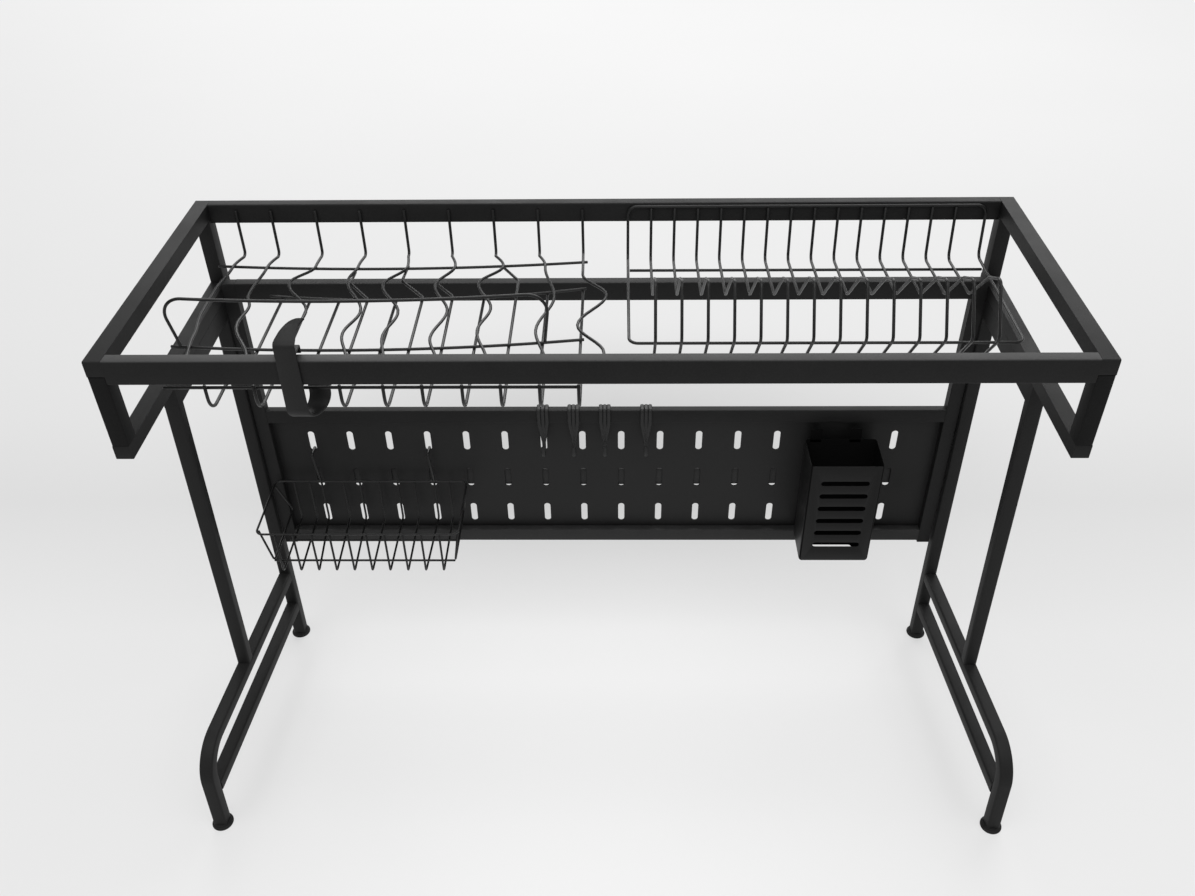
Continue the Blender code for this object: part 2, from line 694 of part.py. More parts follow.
def bowl_wire(index, turns):
    """An upright that bends forwards and then snakes from side to side."""
    x = BOWL_LAST_X - (BOWL_WIRES - 1 - index) * BOWL_PITCH
    if index == 0:
        x = BOWL_SIDE_MARGIN - INNER_X
    start = FRAME_DEPTH * WAVE_START_SHARE
    corners = (
        ((x, RACK_BACK_Y, -RACK_TOP), 0),
        ((x, RACK_BACK_Y, -BOWL_LEVEL), BOWL_BEND),
        ((x, start, -BOWL_LEVEL), 0),
    )
    points = [tuple(point) for point in rounded(corners)]
    from_y, from_side = start, 0
    for place_share, side_share in turns:
        to_y, to_side = FRAME_DEPTH * place_share, WAVE_REACH * side_share
        for step in range(1, WAVE_STEPS + 1):
            share = step / WAVE_STEPS
            ease = (1 - math.cos(math.pi * share)) / 2
            side = from_side + (to_side - from_side) * ease
            points.append((x + side, from_y + (to_y - from_y) * share, -BOWL_LEVEL))
        from_y, from_side = to_y, to_side
    return wire("bowl_wire", points)


def tray_wire(index):
    """A straight wire under the bowls whose front end curls up behind the front rail."""
    back_x, lip_x = (share * INNER_X for share in TRAY_SHARES[index])
    if index in TRAY_BRANCHES:
        corners = [
            ((x_share * INNER_X, y_share * FRAME_DEPTH, TRAY_LEVEL), TRAY_BRANCH_BEND)
            for x_share, y_share in TRAY_BRANCHES[index]
        ]
        corners[0] = (corners[0][0], 0)
    else:
        back_y = long_wire_y(MIDDLE_LONG_WIRE, back_x) + TRAY_OVERRUN
        corners = [((back_x, back_y, TRAY_LEVEL), 0)]
    corners.append(((back_x, FRAME_DEPTH * TRAY_TURN_BACK_SHARE, TRAY_LEVEL), 0))
    corners.append(((lip_x, FRAME_DEPTH * TRAY_TURN_FRONT_SHARE, TRAY_LEVEL), 0))
    if index == SHORT_TRAY_WIRE:
        corners.append(((lip_x, FRAME_DEPTH * SHORT_WIRE_END_SHARE, TRAY_LEVEL), 0))
    else:
        corners.append(((lip_x, RACK_FRONT_Y, TRAY_LEVEL), LIP_BEND))
        corners.append(((lip_x, RACK_FRONT_Y, -LIP_TIP), 0))
    return wire("tray_wire", rounded(corners, steps=LIP_STEPS))


def build_bowl_rack():
    body = new_empty("bowl_rack_lift", (0, 0, 0), FRAME)
    dividers = [bowl_wire(i, turns) for i, turns in enumerate(WAVE_TURNS)]
    ends = (LONG_WIRE_LEFT, LONG_WIRE_END)
    rear_points = long_wire_points(*ends, REAR_LONG_WIRE, -BOWL_LEVEL - WELD_STEP)
    dividers.insert(0, wire("rear_long_wire", rear_points))
    finish_piece(fuse("bowl_rack_dividers", dividers), "black_wire_coat", body, smooth=True)
    tray = [tray_wire(i) for i in range(len(TRAY_SHARES))]
    level = -BOWL_LEVEL - REST_STEP
    middle_left = MIDDLE_LONG_LEFT_SHARE * INNER_X
    middle_points = long_wire_points(middle_left, LONG_WIRE_END, MIDDLE_LONG_WIRE, level)
    tray.insert(0, wire("middle_long_wire", middle_points))
    tray.insert(0, wire("front_long_wire", long_wire_points(*ends, FRONT_LONG_WIRE, level)))
    lip_y = RACK_FRONT_Y + WELD_STEP
    lip_ends = (LIP_LEFT_SHARE * INNER_X, LONG_WIRE_END)
    tray.append(wire("lip_wire", [(x, lip_y, -LIP_DEPTH) for x in lip_ends]))
    finish_piece(fuse("bowl_rack_tray", tray), "black_wire_coat", body, smooth=True)
    top_ends = (LONG_WIRE_LEFT, FENCE_RIGHT)
    top_points = long_wire_points(*top_ends, FRONT_LONG_WIRE, -FENCE_TOP, FENCE_FRONT)
    feet = []
    for x in (LONG_WIRE_LEFT + FENCE_LEFT_SLANT, FENCE_RIGHT - FENCE_RIGHT_SLANT):
        feet.append((x, long_wire_y(FRONT_LONG_WIRE, x), level + WIRE_RADIUS + GAP))
    corners = [(feet[0], 0), (top_points[0], FENCE_BEND)]
    corners += [(point, 0) for point in top_points[1:-1]]
    corners += [(top_points[-1], FENCE_BEND), (feet[1], 0)]
    fence = wire("bowl_rack_fence", rounded(corners, steps=LIP_STEPS))
    finish_piece(fence, "black_wire_coat", body, smooth=True)


def plate_wire(index):
    """One bent divider: upright, floor, hump for the plate's rim, nose and tail."""
    x = PLATE_FIRST_X + (index + 1) * PLATE_PITCH
    top = -PLATE_TOP - WIRE_RADIUS - GAP
    corners = [((x, RACK_BACK_Y, top), 0), ((x, PLATE_BEND_BACK, -PLATE_FLOOR), BOWL_BEND)]
    for y_share, z, radius in PLATE_PROFILE:
        corners.append(((x, y_share * FRAME_DEPTH, z), radius))
    return wire("plate_wire", rounded(corners))


def build_plate_rack():
    body = new_empty("plate_rack_lift", (0, 0, 0), FRAME)
    left, right = PLATE_FIRST_X, PLATE_LAST_X
    front = PLATE_FRONT_SHARE * FRAME_DEPTH
    corners = [
        ((left, RACK_BACK_Y, -PLATE_TOP), PLATE_CORNER),
        ((left, PLATE_BEND_BACK, -PLATE_LEVEL), BOWL_BEND),
        ((left, front, -PLATE_LEVEL), PLATE_CORNER),
        ((right, front, -PLATE_LEVEL), PLATE_CORNER),
        ((right, PLATE_BEND_BACK, -PLATE_LEVEL), BOWL_BEND),
        ((right, RACK_BACK_Y, -PLATE_TOP), PLATE_CORNER),
    ]
    outline = wire("plate_rack_frame", rounded(corners, closed=True), closed=True)
    finish_piece(outline, "black_wire_coat", body, smooth=True)
    rear_y = PLATE_REAR_WIRE_SHARE * FRAME_DEPTH
    reach = WIRE_RADIUS + GAP
    ends = [(x, rear_y, -PLATE_LEVEL - WELD_STEP) for x in (left + reach, right - reach)]
    dividers = [wire("plate_long_wire", ends)]
    dividers += [plate_wire(i) for i in range(PLATE_WIRES)]
    finish_piece(fuse("plate_rack_dividers", dividers), "black_wire_coat", body, smooth=True)


def build_basket():
    middle_x = between_slots(BASKET_SLOTS) + BASKET_SHIFT
    body = new_empty("wire_basket_lift", (middle_x, 0, 0), FRAME)
    half = BASKET_LENGTH / 2
    back = MODULE_FRONT - GAP - BASKET_WIRE
    front = back - BASKET_DEPTH
    top = -BASKET_TOP
    places = ((-half, back), (-half, front), (half, front), (half, back))
    ring = [((x, y, top), BASKET_CORNER) for x, y in places]
    rim = [wire("rim", rounded(ring, closed=True), BASKET_WIRE, closed=True)]
    sill = -SLOT_SILL + GAP + BASKET_WIRE
    behind = SHEET_BACK_Y + GAP + BASKET_HOOK_BEND
    for column in BASKET_SLOTS:
        x = slot_x(column) - middle_x
        corners = (
            ((x, back, top), 0),
            ((x, back, sill), BASKET_HOOK_BEND),
            ((x, behind, sill), BASKET_HOOK_BEND),
            ((x, behind, sill - BASKET_HOOK_DROP), 0),
        )
        rim.append(wire("hook", rounded(corners), BASKET_WIRE))
    finish_piece(fuse("wire_basket_rim", rim), "black_wire_coat", body, smooth=True)
    bottom = top - BASKET_HEIGHT
    rib_top = top - BASKET_WIRE - GAP
    rail_z = top - BASKET_RAIL_DROP
    weld = 2 * BASKET_WIRE - WELD
    pieces = []
    for y in (front + weld, back - weld):
        end = half - BASKET_END_LEAN
        pieces.append(wire("bottom_rail", [(-end, y, rail_z), (end, y, rail_z)], BASKET_WIRE))
    for index in range(BASKET_RIBS):
        x = (index - (BASKET_RIBS - 1) / 2) * BASKET_RIB_SHARE * BASKET_LENGTH
        corners = (
            ((x, back, rib_top), 0),
            ((x, back, bottom), BASKET_RIB_BEND),
            ((x, front, bottom), BASKET_RIB_BEND),
            ((x, front, rib_top), 0),
        )
        pieces.append(wire("rib", rounded(corners), BASKET_WIRE))
    for end in (-1, 1):
        low_x, high_x = end * (half - BASKET_END_LEAN), end * (half - BASKET_WIRE)
        low_front, low_back = front + weld, back - weld
        high_front, high_back = front + BASKET_CORNER, back - BASKET_CORNER
        corners = (
            ((high_x, high_front, rib_top), 0),
            ((low_x, low_front, rail_z), BASKET_RIB_BEND),
            ((low_x, low_back, rail_z), BASKET_RIB_BEND),
            ((high_x, high_back, rib_top), 0),
        )
        pieces.append(wire("end_frame", rounded(corners), BASKET_WIRE))
    finish_piece(fuse("wire_basket_ribs", pieces), "black_wire_coat", body, smooth=True)


def build_holder():
    middle_x = between_slots(HOLDER_TAB_SLOTS) + HOLDER_SHIFT
    body = new_empty("cutlery_holder_lift", (middle_x, 0, 0), FRAME)
    back = MODULE_FRONT - GAP
    shape = cube_shape((HOLDER_WIDTH, HOLDER_DEPTH, HOLDER_HEIGHT))
    lid = [face for face in shape.faces if face.normal.z > UPWARD_LIMIT]
    bmesh.ops.delete(shape, geom=lid, context="FACES_ONLY")
    edges = [edge for edge in shape.edges if len(edge.link_faces) == 2]
    bmesh.ops.bevel(
        shape,
        geom=edges,
        offset=HOLDER_CORNER,
        segments=HOLDER_CORNER_STEPS,
        profile=ROUND_PROFILE,
        affect="EDGES",
    )
    shell = mesh_object("holder_shell", shape)
    solidify = shell.modifiers.new("wall", "SOLIDIFY")
    solidify.thickness = HOLDER_WALL
    solidify.offset = -1
    bpy.context.scene.collection.objects.link(shell)
    graph = bpy.context.evaluated_depsgraph_get()
    shell_mesh = bpy.data.meshes.new_from_object(shell.evaluated_get(graph))
    bpy.data.objects.remove(shell, do_unlink=True)
    walls = bpy.data.objects.new("holder_walls", shell_mesh)
    middle_y = back - HOLDER_DEPTH / 2
    middle_z = -HOLDER_TOP - HOLDER_HEIGHT / 2
    walls.data.transform(Matrix.Translation((0, middle_y, middle_z)))
    pieces = [walls]
    under = obround_floor(HOLDER_TAB_WIDTH) + GAP
    behind = SHEET_BACK_Y + GAP
    for column in HOLDER_TAB_SLOTS:
        start = back - HOLDER_WALL / 2
        outline = (
            (start, under),
            (behind, under),
            (behind, under - HOLDER_TAB_DROP),
            (behind + HOLDER_TAB_THICKNESS, under - HOLDER_TAB_DROP),
            (behind + HOLDER_TAB_THICKNESS, under + HOLDER_TAB_THICKNESS),
            (start, under + HOLDER_TAB_THICKNESS),
        )
        tab = slab("tab", [outline], HOLDER_TAB_WIDTH, UPRIGHT)
        tab.data.transform(Matrix.Translation((slot_x(column) - middle_x, 0, 0)))
        pieces.append(tab)
    holder = fuse("cutlery_holder", pieces)
    finish_piece(holder, "black_sheet_coat", body)
    rows = []
    for index in range(HOLDER_SLOTS):
        z = -HOLDER_TOP - HOLDER_FIRST_SLOT - index * HOLDER_SLOT_PITCH
        rows.append(obround(0, z, HOLDER_SLOT_WIDTH, HOLDER_SLOT_HEIGHT))
    cutter = slab("holder_slot_cutter", rows, HOLDER_WALL + 2 * CUT_OVERRUN, FACING)
    cutter.location.y = back - HOLDER_DEPTH + HOLDER_WALL / 2
    cutter.parent = body
    cutter.hide_render = True
    cutter.display_type = "WIRE"
    CUTTERS.objects.link(cutter)
    cut = holder.modifiers.new("slots", "BOOLEAN")
    cut.operation = "DIFFERENCE"
    cut.solver = "EXACT"
    cut.object = cutter


def obround_floor(width):
    """The height at which a tab of this width meets the round bottom of a first-row slot."""
    radius = SLOT_WIDTH / 2
    return -SLOT_SILL + radius - math.sqrt(radius * radius - width * width / 4)


def build_hooks():
    reach = HOOK_WIRE + GAP
    front = MODULE_FRONT - reach
    back = MODULE_FRONT + PANEL_TUBE_DEPTH + reach
    top = -PANEL_TOP + reach
    bottom = -PANEL_TOP - HOOK_BOTTOM
    tip_y = front - 2 * HOOK_TURN
    turn = HOOK_TURN * HOOK_BEND_SHARE
    over = [
        ((back, -PANEL_TOP - HOOK_BACK_DROP), 0),
        ((back, top), HOOK_CORNER),
        ((front, top), HOOK_CORNER),
    ]
    centre = over + [
        ((front, bottom), turn),
        ((tip_y, bottom), turn),
        ((tip_y, bottom + HOOK_TURN + HOOK_TIP_RISE), 0),
    ]
    for index, share in enumerate(HOOK_PLACE_SHARES):
        body = new_empty(f"hook_{index + 1}_lift", (share * PANEL_X, 0, 0), FRAME)
        corners = [((0, y, z), radius) for (y, z), radius in centre]
        pieces = [wire("middle", rounded(corners, steps=HOOK_STEPS), HOOK_WIRE)]
        for side in (-1, 1):
            corners = [((side * HOOK_SPREAD, y, z), radius) for (y, z), radius in over]
            corners.append(((side * HOOK_SPREAD, front, -PANEL_TOP - HOOK_SPREAD_END), 0))
            corners.append(((0, front, -PANEL_TOP - HOOK_JOIN), 0))
            pieces.append(wire("side", rounded(corners, steps=HOOK_STEPS), HOOK_WIRE))
        bridge = [(side * HOOK_SPREAD, (front + back) / 2, top) for side in (-1, 1)]
        pieces.append(wire("bridge", bridge, HOOK_WIRE * HOOK_BRIDGE_SHARE))
        finish_piece(fuse(f"hook_{index + 1}", pieces), "black_wire_coat", body, smooth=True)


def taper_band_tip(band, front):
    """Narrows the part above the crest to a point, most on its right-hand edge."""
    half = BAND_WIDTH / 2
    ends = (BAND_TIP_SHIFT - BAND_TIP_WIDTH / 2, BAND_TIP_SHIFT + BAND_TIP_WIDTH / 2)
    for vertex in band.data.vertices:
        share = (vertex.co.y - front) / (BAND_TIP_BACK - front)
        if vertex.co.z < BAND_CREST - BAND_FOLD or share <= 0:
            continue
        if vertex.co.x > 0:
            vertex.co.x += (ends[1] - half) * share
        elif share > BAND_TAPER_SHARE:
            point_share = (share - BAND_TAPER_SHARE) / (1 - BAND_TAPER_SHARE)
            vertex.co.x += (ends[0] + half) * point_share


def build_band_hook():
    front = -GAP - BAND_THICKNESS / 2
    lean_share = (BAND_TIP_TOP - BAND_CREST) / (BAND_TIP_BACK - front)
    rise = []
    for step in range(BAND_STEPS):
        y = BAND_TIP_BACK + (front + BAND_FOLD - BAND_TIP_BACK) * step / BAND_STEPS
        rise.append(((y, BAND_CREST + (y - front) * lean_share), 0))
    corners = rise + [
        ((front, BAND_CREST), BAND_FOLD),
        ((front, -BAND_BOTTOM), BAND_CURL),
        ((BAND_BACK, -BAND_BOTTOM), BAND_CURL),
        ((BAND_BACK, -BAND_BACK_TOP), 0),
    ]
    outline = strip_outline(rounded(corners, steps=BAND_STEPS), BAND_THICKNESS)
    band = slab("band_hook", [outline], BAND_WIDTH, UPRIGHT)
    taper_band_tip(band, front)
    shear_x(band, -BAND_DRIFT_SHARE, front)
    band.location.x = BAND_PLACE_SHARE * INNER_X
    finish_piece(band, "black_sheet_coat", FRAME)


build_upper_frame()
build_leg_frame("left", -1)
build_leg_frame("right", 1)
build_back_module()
build_bowl_rack()
build_plate_rack()
build_basket()
build_holder()
build_hooks()
build_band_hook()
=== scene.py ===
import math

import bmesh
import bpy
from mathutils import Matrix, Vector


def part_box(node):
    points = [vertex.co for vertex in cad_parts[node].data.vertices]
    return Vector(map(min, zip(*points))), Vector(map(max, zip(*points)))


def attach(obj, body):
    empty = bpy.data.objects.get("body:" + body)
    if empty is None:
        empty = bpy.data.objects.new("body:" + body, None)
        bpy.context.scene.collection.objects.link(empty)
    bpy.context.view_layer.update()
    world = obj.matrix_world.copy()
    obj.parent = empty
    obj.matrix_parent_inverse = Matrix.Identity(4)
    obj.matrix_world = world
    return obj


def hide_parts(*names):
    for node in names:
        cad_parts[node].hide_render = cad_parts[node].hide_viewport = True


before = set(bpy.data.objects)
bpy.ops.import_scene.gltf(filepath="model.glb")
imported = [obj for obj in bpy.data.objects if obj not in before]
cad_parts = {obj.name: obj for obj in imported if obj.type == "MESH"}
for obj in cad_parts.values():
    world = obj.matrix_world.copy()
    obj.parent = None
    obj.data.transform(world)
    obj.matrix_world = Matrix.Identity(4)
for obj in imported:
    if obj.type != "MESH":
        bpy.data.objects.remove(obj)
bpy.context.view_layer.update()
print("frame loaded:", len(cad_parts), "nodes")

rackSize = {
    "depth": 0.3056,
    "height": 0.6255,
    "middleY": 0.13655,   # from the front rail's face to the middle of the footprint
    "innerX": 0.410,
    "gap": 0.0003,        # what the solids leave open at each joint
    "overlap": 1.1,       # how many gaps a joined piece reaches on
}


# materials

class Socket:
    # a node's output, so that shader maths reads as plain sums
    def __init__(self, tree, out):
        self.tree = tree
        self.out = out

    def feed(self, made, inputs):
        for name, value in inputs.items():
            if isinstance(value, Socket):
                self.tree.links.new(value.out, made.inputs[name])
            else:
                made.inputs[name].default_value = value

    def node(self, kind, settings=None, inputs=None, output=0):
        made = self.tree.nodes.new(kind)
        for name, value in (settings or {}).items():
            if name == "stops":
                for i, (place, colour) in enumerate(value):
                    stop = made.color_ramp.elements[i] if i < 2 else made.color_ramp.elements.new(place)
                    stop.position = place
                    stop.color = colour
            else:
                setattr(made, name, value)
        self.feed(made, inputs or {})
        return Socket(self.tree, made.outputs[output])

    def maths(self, operation, a, b):
        return self.node("ShaderNodeMath", {"operation": operation}, {0: a, 1: b})

    def __add__(self, other):
        return self.maths("ADD", self, other)

    def __sub__(self, other):
        return self.maths("SUBTRACT", self, other)

    def __rsub__(self, other):
        return self.maths("SUBTRACT", other, self)

    def __mul__(self, other):
        return self.maths("MULTIPLY", self, other)

    __radd__ = __add__
    __rmul__ = __mul__

    def between(self, low, high):
        return self.node("ShaderNodeMapRange", {"clamp": True}, {0: self, 1: low, 2: high, 3: 0.0, 4: 1.0})

    def blend(self, first, second):
        return self.node("ShaderNodeMix", {"data_type": "RGBA"}, {0: self, 6: first, 7: second}, 2)


def startMaterial(name):
    material = bpy.data.materials.new(name)
    material.use_nodes = True
    start = Socket(material.node_tree, None)
    places = start.node("ShaderNodeTexCoord", output="Object")
    return material, start.tree.nodes["Principled BSDF"], start, places


def noiseAt(start, places, scale, detail=2.0, rough=0.5):
    return start.node("ShaderNodeTexNoise", {"noise_dimensions": "3D"},
                      {"Vector": places, "Scale": scale, "Detail": detail, "Roughness": rough})


finishes = {
    # slot, dark and light grey, least and most roughness, grain per metre, bump in metres, specular level, painted
    # light on upward faces
    "tubeCoat": ("black_powder_coat", 0.006, 0.013, 0.50, 0.62, 900, 0.00012, 0.16, 0.0),
    # tubeCoat with painted light on the front rail's top face
    "railCoat": ("black_powder_coat", 0.006, 0.013, 0.50, 0.62, 900, 0.00012, 0.16, 0.028),
    # a darker copy of tubeCoat for the front posts: painted shade
    "postCoat": ("black_powder_coat", 0.0045, 0.010, 0.50, 0.62, 900, 0.00012, 0.09, 0.0),
    # a lighter copy of tubeCoat for the crossbar and the panel's bottom tube: painted light on tubes that sit in shade
    "barCoat": ("black_powder_coat", 0.014, 0.026, 0.50, 0.62, 900, 0.00012, 0.20, 0.0),
    "wireCoat": ("black_wire_coat", 0.004, 0.009, 0.28, 0.38, 1500, 0.00003, 0.30, 0.0),
    "hookCoat": ("black_wire_coat", 0.008, 0.015, 0.44, 0.54, 1500, 0.00003, 0.30, 0.0),
    "sheetCoat": ("black_sheet_coat", 0.0065, 0.013, 0.42, 0.54, 1100, 0.00009, 0.21, 0.0),
    "holderCoat": ("black_sheet_coat", 0.0045, 0.009, 0.42, 0.54, 1100, 0.00009, 0.16, 0.0),
    "gripRubber": ("black_rubber", 0.007, 0.015, 0.62, 0.78, 600, 0.00010, 0.15, 0.0),
}
coatTexture = {
    # each noise's scale, detail and roughness; the last two scales are shares of the grain
    "cloud": (14, 3.0, 0.6), "speck": (0.6, 2.0, 0.7), "peel": (1.0, 1.0, 0.4),
    "cloudTone": (0.35, 0.65), "speckTone": (0.42, 0.68), "upwardTone": (0.3, 0.95),
    "cloudShare": 0.45, "speckShare": 0.35, "upwardShare": 0.25,
    "cloudGloss": (0.3, 0.7), "speckGloss": (0.5, 0.7), "speckRoughness": 0.04,
    "speckBump": 0.5, "bumpStrength": 0.5,
}
# colour, roughness and specular of the painted shade inside the cutlery holder
insideShade = {"grey": 0.004, "roughness": 0.8, "specular": 0.02}


def grey(value):
    return value, value, value, 1


def coatMaterial(name):
    _, dark, light, smooth, rough, grain, height, specular, paintedTopLight = finishes[name]
    t = coatTexture
    material, shader, start, places = startMaterial(name)
    cloud = noiseAt(start, places, *t["cloud"])
    speck, peel = (noiseAt(start, places, grain * t[kind][0], *t[kind][1:]) for kind in ("speck", "peel"))
    facing = start.node("ShaderNodeNewGeometry", output="Normal")
    # faces turned upwards get a lighter colour in every coat: painted light from above
    litFromAbove = start.node("ShaderNodeSeparateXYZ", inputs={0: facing}, output=2).between(*t["upwardTone"])
    tone = cloud.between(*t["cloudTone"]) * t["cloudShare"] + speck.between(*t["speckTone"]) * t["speckShare"]
    colour = (tone + litFromAbove * t["upwardShare"]).blend(grey(dark), grey(light))
    # upward faces blended towards white: painted light from above
    if paintedTopLight:
        colour = (litFromAbove * paintedTopLight).blend(colour, grey(1))
    gloss = cloud.between(*t["cloudGloss"]) * (rough - smooth) + smooth
    gloss = gloss + speck.between(*t["speckGloss"]) * t["speckRoughness"]
    bump = start.node("ShaderNodeBump", inputs={"Height": peel + speck * t["speckBump"],
                                                "Strength": t["bumpStrength"], "Distance": height})
    start.feed(shader, {"Base Color": colour, "Roughness": gloss, "Normal": bump, "Specular IOR Level": specular})
    return material


def paintedShadeInside(material, low, high, soft):
    # painted shade for the inside of an open box: only the faces within the two corners change, mixed towards a dark,
    # dull coat
    start = Socket(material.node_tree, None)
    places = start.node("ShaderNodeTexCoord", output="Object")
    nodes, amount = start.tree.nodes, 1.0
    for axis in (0, 1):
        across = start.node("ShaderNodeSeparateXYZ", inputs={0: places}, output=axis)
        amount = across.between(low[axis], low[axis] + soft) * amount
        amount = (1 - across.between(high[axis] - soft, high[axis])) * amount
    shadedCoat = start.node("ShaderNodeBsdfPrincipled", inputs={
        "Base Color": grey(insideShade["grey"]), "Roughness": insideShade["roughness"],
        "Specular IOR Level": insideShade["specular"]})
    coat = Socket(start.tree, nodes["Principled BSDF"].outputs[0])
    mixed = start.node("ShaderNodeMixShader", inputs={0: amount, 1: coat, 2: shadedCoat})
    start.feed(nodes["Material Output"], {"Surface": mixed})


coats = {name: coatMaterial(name) for name in finishes}
print("materials made:", ", ".join(coats))


# mesh helpers: places are measured from the front rail's face, the rack's middle and its top

bends = {"degrees": 8, "leastSteps": 2, "leastCosine": 0.6}
wireEnds = {"tipShare": 0.75, "chamferShare": 0.25, "sides": 12}
welds = {"rows": 5, "columns": 8, "flat": 0.8, "overshoot": 0.02, "parallel": 1e-14}
sideways = Vector((1, 0, 0))


def place(x, y, z):
    return Vector((x, y - rackSize["middleY"], z + rackSize["height"]))


def placed(path):
    return [place(*point) for point in path]


def camel(node):
    words = node.split("_")
    return words[0] + "".join(word.capitalize() for word in words[1:])


def linked(name, data):
    made = bpy.data.objects.new(name, data)
    bpy.context.scene.collection.objects.link(made)
    return made


def solid(name, parts, merge=0.0):
    # one object from several closed parts, with its faces turned outwards
    verts, faces = [], []
    for partVerts, partFaces in parts:
        offset = len(verts)
        verts += [tuple(v) for v in partVerts]
        faces += [tuple(i + offset for i in face) for face in partFaces]
    mesh = bpy.data.meshes.new(name)
    mesh.from_pydata(verts, [], faces)
    shape = bmesh.new()
    shape.from_mesh(mesh)
    if merge:
        bmesh.ops.remove_doubles(shape, verts=shape.verts, dist=merge)
    bmesh.ops.recalc_face_normals(shape, faces=shape.faces)
    shape.to_mesh(mesh)
    shape.free()
    return linked(name, mesh)


def shapeOf(made):
    # the points and faces of an object once its modifiers are worked out; the object itself goes
    mesh = bpy.data.meshes.new_from_object(made.evaluated_get(bpy.context.evaluated_depsgraph_get()))
    shape = [v.co.copy() for v in mesh.vertices], [tuple(p.vertices) for p in mesh.polygons]
    bpy.data.objects.remove(made, do_unlink=True)
    bpy.data.meshes.remove(mesh)
    return shape


def makePiece(node, parts, coat, body="frame", sharpAngle=35):
    # the finished piece, in the place of the solid that it is named for
    piece = solid(camel(node), parts)
    piece.data.materials.append(coats[coat])
    piece.data.shade_smooth()
    piece.data.set_sharp_from_angle(angle=math.radians(sharpAngle))
    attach(piece, body)
    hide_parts(node)


def bent(corners, degrees=bends["degrees"]):
    # corners are (place, radius); each corner with a radius becomes an arc
    places = [Vector(corner) for corner, _ in corners]
    path = []
    for i, (corner, (_, radius)) in enumerate(zip(places, corners)):
        if radius == 0:
            path.append(corner)
            continue
        before = (places[i - 1] - corner).normalized()
        after = (places[(i + 1) % len(places)] - corner).normalized()
        half = before.angle(after) / 2
        centre = corner + (before + after).normalized() * (radius / math.sin(half))
        start = corner + before * (radius / math.tan(half)) - centre
        end = corner + after * (radius / math.tan(half)) - centre
        turn = start.angle(end)
        steps = max(bends["leastSteps"], round(math.degrees(turn) / degrees))
        for step in range(steps + 1):
            share = step / steps
            mixed = start * math.sin((1 - share) * turn) + end * math.sin(share * turn)
            path.append(centre + mixed / math.sin(turn))
    return path


def lofted(rings, closed=False):
    # joins equal rings of points in turn, and closes both ends unless the last ring meets the first
    ring, total = len(rings[0]), len(rings) * len(rings[0])
    faces = []
    for start in range(0, total if closed else total - ring, ring):
        onward = (start + ring) % total
        for j in range(ring):
            k = (j + 1) % ring
            faces.append((start + j, start + k, onward + k, onward + j))
    if not closed:
        faces += [tuple(range(ring))[::-1], tuple(range(total - ring, total))]
    return [point for points in rings for point in points], faces


def sweep(path, section, closed=False, side=None, chamfer=0.0):
    # carries a flat section along a path; a fixed side keeps a square tube from twisting
    last = len(path) - 1
    rings, across = [], None
    for i, point in enumerate(path):
        ahead = path[(i + 1) % len(path)] if closed or i < last else point
        behind = path[i - 1] if closed or i > 0 else point
        along = (ahead - behind).normalized()
        if side is not None:
            across = (side - along * side.dot(along)).normalized()
        elif across is None:
            across = along.orthogonal().normalized()
        else:
            across = (across - along * across.dot(along)).normalized()
        other, stretch = along.cross(across), 1.0
        if side is not None and 0 < i < last:
            stretch = 1 / max((point - behind).normalized().dot(along), bends["leastCosine"])
        rings.append([point + across * u + other * v * stretch for u, v in section])
    if chamfer:
        tips = []
        for end, nearer in ((0, 1), (-1, -2)):
            outward = (path[end] - path[nearer]).normalized()
            tips.append([path[end] + (v - path[end]) * wireEnds["tipShare"] + outward * chamfer for v in rings[end]])
        rings = [tips[0]] + rings + [tips[1]]
    return lofted(rings, closed)


def circle(radius, sides):
    turns = [2 * math.pi * i / sides for i in range(sides)]
    return [(radius * math.cos(turn), radius * math.sin(turn)) for turn in turns]


def trimEnds(path, amount):
    # draws both ends in, so that a chamfered tip ends where the cut end of the solid does
    path = list(path)
    for end, nearer in ((0, 1), (-1, -2)):
        path[end] = path[end] + (path[nearer] - path[end]).normalized() * amount
    return path


def wirePart(path, radius, sides=wireEnds["sides"], closed=False):
    if closed:
        return sweep(path, circle(radius, sides), closed=True)
    chamfer = radius * wireEnds["chamferShare"]
    return sweep(trimEnds(path, chamfer), circle(radius, sides), chamfer=chamfer)


def bead(centre, radius, flat=welds["flat"]):
    # a small weld nugget where two wires cross
    rows, columns = welds["rows"], welds["columns"]
    verts, faces = [], []
    for row in range(rows + 1):
        lift = math.pi * row / rows
        verts += [centre + Vector((x, y, math.cos(lift) * flat)) * radius for x, y in circle(math.sin(lift), columns)]
    for start in range(0, rows * columns, columns):
        for j in range(columns):
            k = (j + 1) % columns
            faces.append((start + j, start + k, start + k + columns, start + j + columns))
    return verts, faces


def closest(a, b, c, d):
    # how near two straight stretches of wire come, and the point halfway between them
    along, across, gap = b - a, d - c, a - c
    aa, ab, bb = along.dot(along), along.dot(across), across.dot(across)
    bottom = aa * bb - ab * ab
    if bottom < welds["parallel"]:
        return None
    s = (ab * across.dot(gap) - bb * along.dot(gap)) / bottom
    t = (aa * across.dot(gap) - ab * along.dot(gap)) / bottom
    least, most = -welds["overshoot"], 1 + welds["overshoot"]
    if not (least <= s <= most and least <= t <= most):
        return None
    first, second = a + along * s, c + across * t
    return (first - second).length, (first + second) / 2


